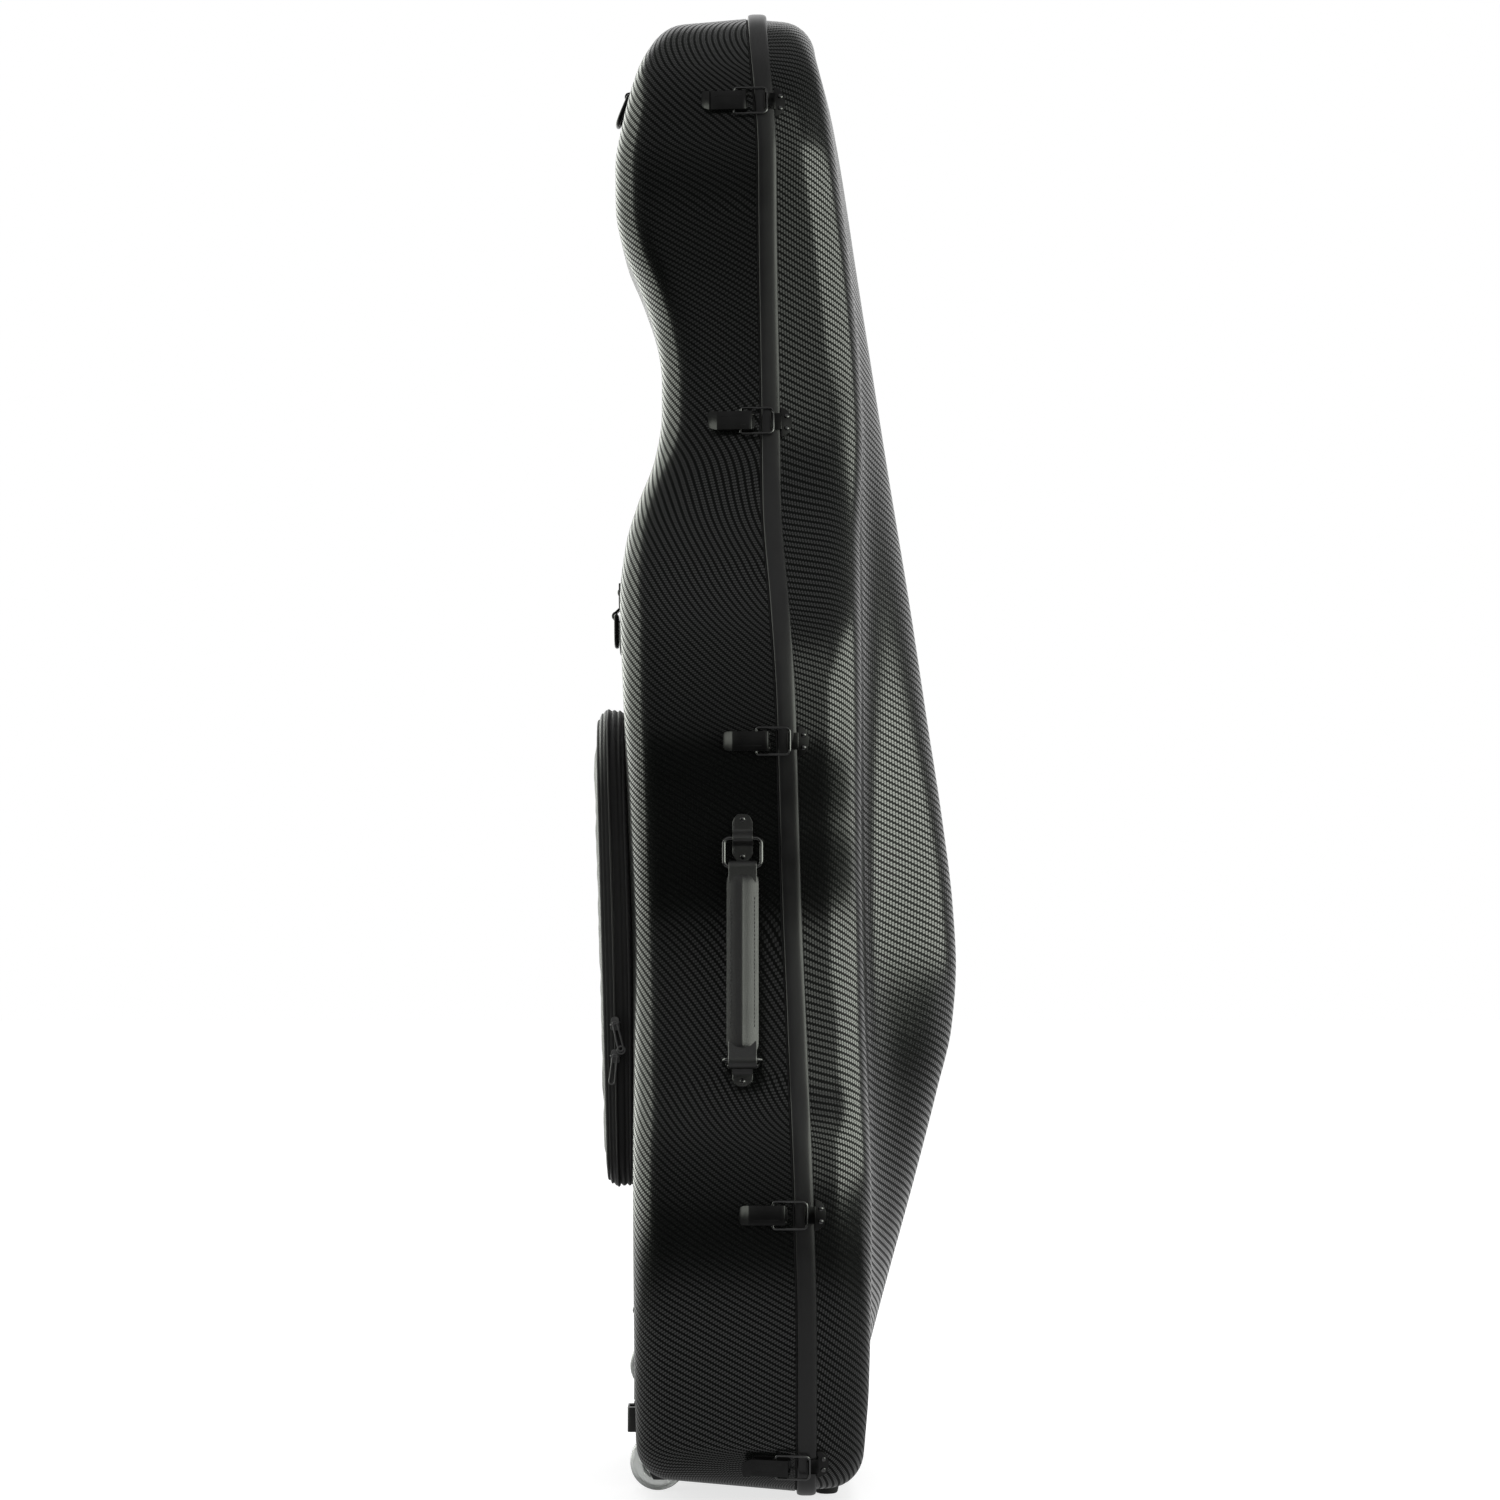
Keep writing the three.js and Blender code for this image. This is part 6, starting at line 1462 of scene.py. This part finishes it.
# hinges and the pieces inside, refined from their solids
def refined(node, name, finish, body, bevel, segments=2):
    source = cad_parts[node].data
    work = bmesh.new()
    work.from_mesh(source)
    bmesh.ops.remove_doubles(work, verts=work.verts, dist=1e-6)
    bmesh.ops.dissolve_limit(work, angle_limit=math.radians(2), verts=work.verts, edges=work.edges)
    limit = math.radians(40)
    edges = [e for e in work.edges if len(e.link_faces) == 2 and e.calc_face_angle(0) > limit]
    bmesh.ops.bevel(work, geom=edges, offset=bevel * millimetre, segments=segments, profile=0.5,
                    affect="EDGES", clamp_overlap=True)
    mesh = bpy.data.meshes.new(name)
    work.to_mesh(mesh)
    work.free()
    mesh.shade_smooth()
    mesh.set_sharp_from_angle(angle=math.radians(46))
    return makePiece(name, mesh, [finishes[finish]], body, [node])


for number in (1, 2, 3):
    refined(f"hinge_back_leaf_{number}", f"hingeBackLeaf{number}", "blackSteel", "back", 0.35)
    refined(f"hinge_lid_leaf_{number}", f"hingeLidLeaf{number}", "blackSteel", "lid", 0.35)
refined("neck_cradle", "neckCradle", "plush", "back", 5, 4)
refined("endpin_block", "endpinBlock", "plush", "back", 4, 4)
refined("neck_strap", "neckStrap", "webbing", "back", 0.5)
print("hinges and inner pieces made")

for (body, finish, radius, rise), (places, aims) in heads.items():
    name = ("rivets" + "".join(w.capitalize() for w in body.split("_"))
            + finish.capitalize() + str(round(radius * 10)))
    mesh = grown(name, pointSource(places, aims), "heads", {
        "Head Radius": radius * millimetre, "Head Rise": rise * millimetre, "Head Finish": finishes[finish]})
    makePiece(name, mesh, None, body)
print("rivets made")


# floor, light and camera
studio = {
    "floor": 0.42, "floorGlow": 0.74, "camera": (-4.0, 0.0235, 0.600), "lens": 103.68, "shift": 0.048,
    "sky": 0.7, "dim": 0.11, "above": 0.25, "behind": 1.0, "behindFrom": 0.45, "behindFade": 4,
    "nearFloor": 1.1, "nearFade": 2.5, "nearLevel": 0.5, "sideFade": 1.5, "sideLevel": 1.3, "floorHalf": 9.0,
    "panel": {"turn": math.radians(68), "away": 2.2, "size": (3.6, 1.34), "middle": 1.06, "radiance": 3.5},
    "fillPanel": {"turn": math.radians(17), "away": 2.2, "size": (1.0, 1.5), "middle": 1.3, "radiance": 0.7},
    "backPanel": {"turn": math.radians(-116), "away": 2.2, "size": (4.2, 2.8), "middle": 1.2,
                  "radiance": 2.1},
    "tint": (0.95, 1.0, 0.89),
    "lamps": (  # place, target, size and radiance of the lamps that only light, and don't show in the gloss
        ("topSoft", (0.5, -0.2, 3.6), (0, 0, 0.6), (2.4, 2.4), 3.9),
        ("lidSoft", (-0.5, -3.0, 0.9), (0, 0, 0.7), (1.4, 1.2), 3.4),
        ("backSoft", (-0.4, 3.0, 1.0), (0, 0, 0.7), (1.2, 1.4), 1.5),
    ),
}


def floorPiece():
    f = Finish("paleFloor")
    seen = f.node("LightPath", output="Is Camera Ray") + f.node("LightPath", output="Is Transmission Ray")
    isGlossy = f.node("LightPath", output="Is Glossy Ray")
    x, y = (f.axis(f.place(), a) for a in "XY")
    away = (x * x + y * y).math("SQRT")
    near = ((studio["nearFloor"] - away) * studio["nearFade"]).within(0, studio["nearLevel"])
    aside = (x * studio["sideFade"]).within(0, studio["sideLevel"])
    seen = seen + isGlossy * near.math("MAXIMUM", aside)
    plain = f.node("BsdfDiffuse", inputs={"Color": f.mix(isGlossy, grey(studio["floor"]), grey(0.0))})
    glow = f.node("Emission", inputs={"Color": grey(1.0), "Strength": seen * studio["floorGlow"]})
    both = f.node("AddShader", inputs={0: plain, 1: glow})
    end = f.tree.nodes.new("ShaderNodeOutputMaterial")
    f.tree.links.new(both.socket, end.inputs["Surface"])
    mesh = bpy.data.meshes.new("floor")
    r = studio["floorHalf"]
    mesh.from_pydata([(-r, -r, 0), (r, -r, 0), (r, r, 0), (-r, r, 0)], [], [(0, 1, 2, 3)])
    mesh.materials.append(f.material)
    floor = bpy.data.objects.new("floor", mesh)
    bpy.context.scene.collection.objects.link(floor)


def softWorld():
    world = bpy.data.worlds.new("softStudio")
    world.use_nodes = True
    tree = world.node_tree
    tree.nodes.clear()
    f = Finish.__new__(Finish)
    f.tree, f.material = tree, None
    way = f.place("Generated")
    x, y, z = (f.axis(way, a) for a in "XYZ")
    lightPath = lambda name: f.node("LightPath", output=name)
    seen = (lightPath("Is Camera Ray") + lightPath("Is Transmission Ray")).within(0, 1)
    behind = ((x - studio["behindFrom"]) * studio["behindFade"]).within(0, 1) * studio["behind"]
    glossy = behind + studio["dim"] + z.within(0, 1) * studio["above"]
    isGlossy = lightPath("Is Glossy Ray")
    level = isGlossy * glossy + (1 - isGlossy) * studio["sky"]
    level = seen + (1 - seen) * level
    back = f.node("Background", inputs={"Color": grey(1.0), "Strength": level})
    end = tree.nodes.new("ShaderNodeOutputWorld")
    tree.links.new(back.socket, end.inputs["Surface"])
    bpy.context.scene.world = world


def areaLamp(name, place, target, size, radiance, glossy=False):
    data = bpy.data.lights.new(name, "AREA")
    data.shape, data.size, data.size_y = "RECTANGLE", *size
    data.energy, data.color = radiance * math.pi * size[0] * size[1], studio["tint"] if glossy else (1, 1, 1)
    lamp = bpy.data.objects.new(name, data)
    bpy.context.scene.collection.objects.link(lamp)
    lamp.location = place
    lamp.rotation_mode = "QUATERNION"
    lamp.rotation_quaternion = (Vector(target) - Vector(place)).to_track_quat("-Z", "Y")
    lamp.visible_glossy, lamp.visible_diffuse, lamp.visible_camera = glossy, not glossy, False


def softPanels():  # what the gloss shows: two pale panels on the lid's side and one behind the back
    for name in ("panel", "fillPanel", "backPanel"):
        turn, away, size, middle, radiance = studio[name].values()
        place = (-away * math.cos(turn), -away * math.sin(turn), middle)
        areaLamp(name, place, (0, 0, middle), size, radiance, glossy=True)


floorPiece()
softWorld()
for lamp in studio["lamps"]:
    areaLamp(*lamp)
softPanels()

camera = bpy.data.objects.new("camera", bpy.data.cameras.new("camera"))
bpy.context.scene.collection.objects.link(camera)
camera.location = Vector(studio["camera"]) + Vector((0, caseShift[1], 0))
camera.rotation_mode = "QUATERNION"
camera.rotation_quaternion = Vector((1, 0, 0)).to_track_quat("-Z", "Y")
camera.data.lens, camera.data.sensor_width = studio["lens"], 36
camera.data.shift_y = studio["shift"]
camera.data.clip_end = 60
bpy.context.scene.camera = camera
bpy.context.scene.view_settings.view_transform = "Standard"

print("stage set")
